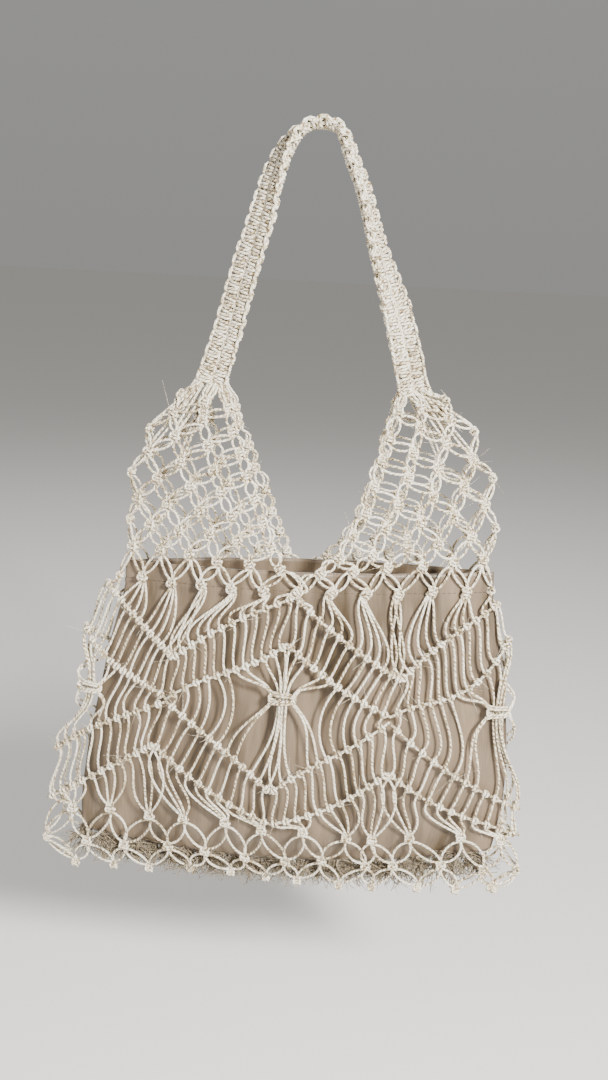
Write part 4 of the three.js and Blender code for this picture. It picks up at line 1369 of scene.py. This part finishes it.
def cloth_material(settings):
    """Satin-weave viscose cloth, woven with its floats along the hanging way: soft streaky shine along
    the folds, faint slubs, and broad blotches of painted shade and painted light like the folds' shadow
    bands."""
    material, output = start_material("satin_weave_viscose")
    tree = material.node_tree
    weave = attribute(tree, "weave")
    # Warp floats are about 0.4 mm wide; they are drawn 1.2 mm wide so that they show.
    floats = noise(tree, weave, (0.8, 0.8, 0.06))
    # Painted shade and painted light: broad noise darkens the cloth towards the fold colour and lightens it
    # above its own colour, like the folds' shadow bands.
    fold_light_and_shade = noise(tree, weave, (0.045, 0.045, 0.008), detail=4.0)
    cloth = tuple(settings.cloth)
    lightest = tuple(min(c * 1.3, 1.0) for c in cloth)
    base = ramp(tree, fold_light_and_shade, (0.36, tuple(settings.painted_fold_shade)), (0.5, cloth), (0.64, lightest))
    streak = ramp(tree, floats, (0.3, 0.86), (0.6, 1.0))
    bump = node(tree, "ShaderNodeBump", {"Height": floats, "Strength": 0.35, "Distance": 0.0006})
    surface(tree, output, Base_Color=multiplied(tree, base, streak), Roughness=0.46,
            Normal=bump.outputs[0], Sheen_Weight=0.25, Sheen_Roughness=0.4, Specular_IOR_Level=0.45)
    return material


WISPS = 780
WISP_LONG = (4, 13)
WISP_RADIUS = 0.2


class STRAWBAG_OT_wisps(bpy.types.Operator):
    """Stray fibres that stand off the cords, knots and ridges"""

    bl_idname = "strawbag.wisps"
    bl_label = "Stray fibres"

    def execute(self, context):
        settings = context.scene.straw_bag_twine
        rng = np.random.default_rng(settings.seed + 60)
        roots, outs = [], []
        for ridge in (UPPER, SECOND, THIRD, LOWER):
            frames = hitch_frames(ridge)
            pick = rng.integers(0, len(frames[0]), WISPS // 6)
            roots.append(frames[0][pick] + rng.normal(0, 1.2, (len(pick), 3)))
            outs.append(frames[3][pick])
        for side in (-1, 1):
            for row in range(1, SHOULDER_TOP + 1):
                frames = shoulder_frames(side, row, np.random.default_rng(settings.seed + 10 + side))
                pick = rng.integers(0, len(frames[0]), WISPS // 48)
                roots.append(frames[0][pick] + rng.normal(0, 1.5, (len(pick), 3)))
                outs.append(frames[3][pick])
        root, out = np.concatenate(roots), np.concatenate(outs)
        many = len(root)
        way = unit(out * rng.uniform(0.1, 0.6, (many, 1)) + rng.normal(0, 0.8, (many, 3)) * (1.0, 0.4, 1.0))
        long = rng.uniform(*WISP_LONG, (many, 1))
        bend = rng.normal(0, 0.5, (many, 3)) * long * np.array([1.0, 0.3, 1.0])
        path = bezier(root, root + way * long * 0.4, root + way * long * 0.7 + bend * 0.6,
                      root + way * long + bend, 6)
        bundle = Bundle()
        bundle.add(*tubes(path, out, WISP_RADIUS, sides=3, plies=False, taper=0.6, rng=rng))
        finish_bundle("stray_fibres", bundle)
        return {"FINISHED"}


# power in watts, size in metres and where each light stands; all of them aim at the bag's middle.
LIGHTS = listed(
    "name power size at",
    ("key", 115.0, 0.3, (0.85, -1.3, 0.52)),
    ("fill", 14.0, 1.4, (-1.3, -1.0, 0.1)),
    ("back", 22.0, 1.4, (-0.4, 1.3, 1.5)),
)
LIGHT_AIM = np.array([0.0, 0.0, -0.33])
SKY_STRENGTH = 0.5
SKY_LOW = 0.72  # the horizon's brightness as a share of the sky's overhead
FLOOR_DROP = 760.0
FLOOR_HALF = 30000.0
PICTURE = (608, 1080)
HANG_PIXEL = (325.2, 134.0)
CAMERA_DISTANCE = 0.830
SENSOR = 36.0


class STRAWBAG_OT_stage(bpy.types.Operator):
    """The plain pale floor, the soft lights and the camera"""

    bl_idname = "strawbag.stage"
    bl_label = "Stage"

    def execute(self, context):
        settings = context.scene.straw_bag_stage
        grid = np.linspace(-FLOOR_HALF, FLOOR_HALF, 3)
        x, y = np.meshgrid(grid, grid)
        corners = np.stack([x, y, np.full(x.shape, -FLOOR_DROP)], -1).reshape(-1, 3)
        quads = np.array([[0, 1, 4, 3], [1, 2, 5, 4], [3, 4, 7, 6], [4, 5, 8, 7]])
        floor = make_mesh("floor", corners, quads, np.zeros((0, 3), int))
        material, output = start_material("matt_painted_board")
        surface(material.node_tree, output, Base_Color=(*settings.floor, 1.0), Roughness=0.9)
        floor.data.materials.append(material)
        self.lights(context)
        self.camera(context, settings)
        return {"FINISHED"}

    @staticmethod
    def lights(context):
        """A soft key from the upper right in front, a weak wide fill from the left, one from behind, and a
        sky that is brighter overhead, so that the far floor has the same tone as the sky behind it."""
        for row in LIGHTS:
            lamp = bpy.data.lights.new(row["name"], "AREA")
            lamp.energy, lamp.size = row["power"], row["size"]
            holder = bpy.data.objects.new(row["name"], lamp)
            holder.location = row["at"]
            aim = LIGHT_AIM - np.array(row["at"])
            pitch = math.acos(-aim[2] / np.linalg.norm(aim))
            holder.rotation_euler = (pitch, 0.0, math.atan2(-aim[0], aim[1]))
            context.scene.collection.objects.link(holder)
        world = context.scene.world or bpy.data.worlds.new("sky")
        context.scene.world = world
        world.use_nodes = True
        tree = world.node_tree
        way = node(tree, "ShaderNodeTexCoord").outputs["Generated"]
        height = node(tree, "ShaderNodeSeparateXYZ", {"Vector": way}).outputs["Z"]
        overhead = linear("E9E8E6")
        tones = ramp(tree, height, (0.0, tuple(c * SKY_LOW for c in overhead)), (1.0, overhead))
        sky = tree.nodes["Background"]
        tree.links.new(tones, sky.inputs["Color"])
        sky.inputs["Strength"].default_value = SKY_STRENGTH

    @staticmethod
    def camera(context, settings):
        """The photograph's camera: a, e and r are its azimuth, elevation and roll, and it stands so that
        the strap's hanging point lies at a pixel of the picture, a known distance away."""
        a, e, r = (math.radians(v) for v in (settings.azimuth, settings.elevation, settings.roll))
        width, height = PICTURE
        scale = CAMERA_DISTANCE * SENSOR / settings.lens / height
        forward = np.array([-math.sin(a) * math.cos(e), math.cos(a) * math.cos(e), -math.sin(e)])
        level = np.array([math.cos(a), math.sin(a), 0.0])
        upright = np.cross(level, forward)
        right = math.cos(r) * level + math.sin(r) * upright
        up = -math.sin(r) * level + math.cos(r) * upright
        x, y = (HANG_PIXEL[0] - width / 2) * scale, (height / 2 - HANG_PIXEL[1]) * scale
        data = bpy.data.cameras.new("camera")
        data.sensor_fit, data.sensor_width, data.lens = "AUTO", SENSOR, settings.lens
        data.clip_start, data.clip_end = 0.02, 100.0
        camera = bpy.data.objects.new("camera", data)
        place = -x * right - y * up - CAMERA_DISTANCE * forward
        columns = np.stack([right, up, -forward, place], axis=1)
        camera.matrix_world = Matrix([*columns.tolist(), [0.0, 0.0, 0.0, 1.0]])
        context.scene.collection.objects.link(camera)
        context.scene.camera = camera


class STRAWBAG_PT_panel(bpy.types.Panel):
    """Lists the bag's pieces and their settings"""

    bl_idname = "STRAWBAG_PT_panel"
    bl_label = "Straw Bag"
    bl_space_type = "VIEW_3D"
    bl_region_type = "UI"
    bl_category = "Straw Bag"

    def draw(self, context):
        for operator in OPERATORS:
            self.layout.operator(operator.bl_idname)
        for group in (context.scene.straw_bag_twine, context.scene.straw_bag_pouch,
                      context.scene.straw_bag_stage):
            box = self.layout.box()
            for name in group.__annotations__:
                box.prop(group, name)


GROUPS = {
    "straw_bag_twine": StrawBagTwine,
    "straw_bag_pouch": StrawBagPouch,
    "straw_bag_stage": StrawBagStage,
}
OPERATORS = [
    STRAWBAG_OT_stage,
    STRAWBAG_OT_strap,
    STRAWBAG_OT_shoulders,
    STRAWBAG_OT_ridges,
    STRAWBAG_OT_sheaves,
    STRAWBAG_OT_base,
    STRAWBAG_OT_frayed,
    STRAWBAG_OT_pouch,
    STRAWBAG_OT_wisps,
]


def register():
    for cls in [*GROUPS.values(), *OPERATORS, STRAWBAG_PT_panel]:
        bpy.utils.register_class(cls)
    for name, cls in GROUPS.items():
        setattr(bpy.types.Scene, name, PointerProperty(type=cls))


def unregister():
    for name in GROUPS:
        delattr(bpy.types.Scene, name)
    for cls in [STRAWBAG_PT_panel, *reversed(OPERATORS), *reversed(GROUPS.values())]:
        bpy.utils.unregister_class(cls)


def main():
    """Builds the bag piece by piece."""
    register()
    for operator in OPERATORS:
        group, name = operator.bl_idname.split(".")
        getattr(getattr(bpy.ops, group), name)()


if __name__ == "__main__":
    main()
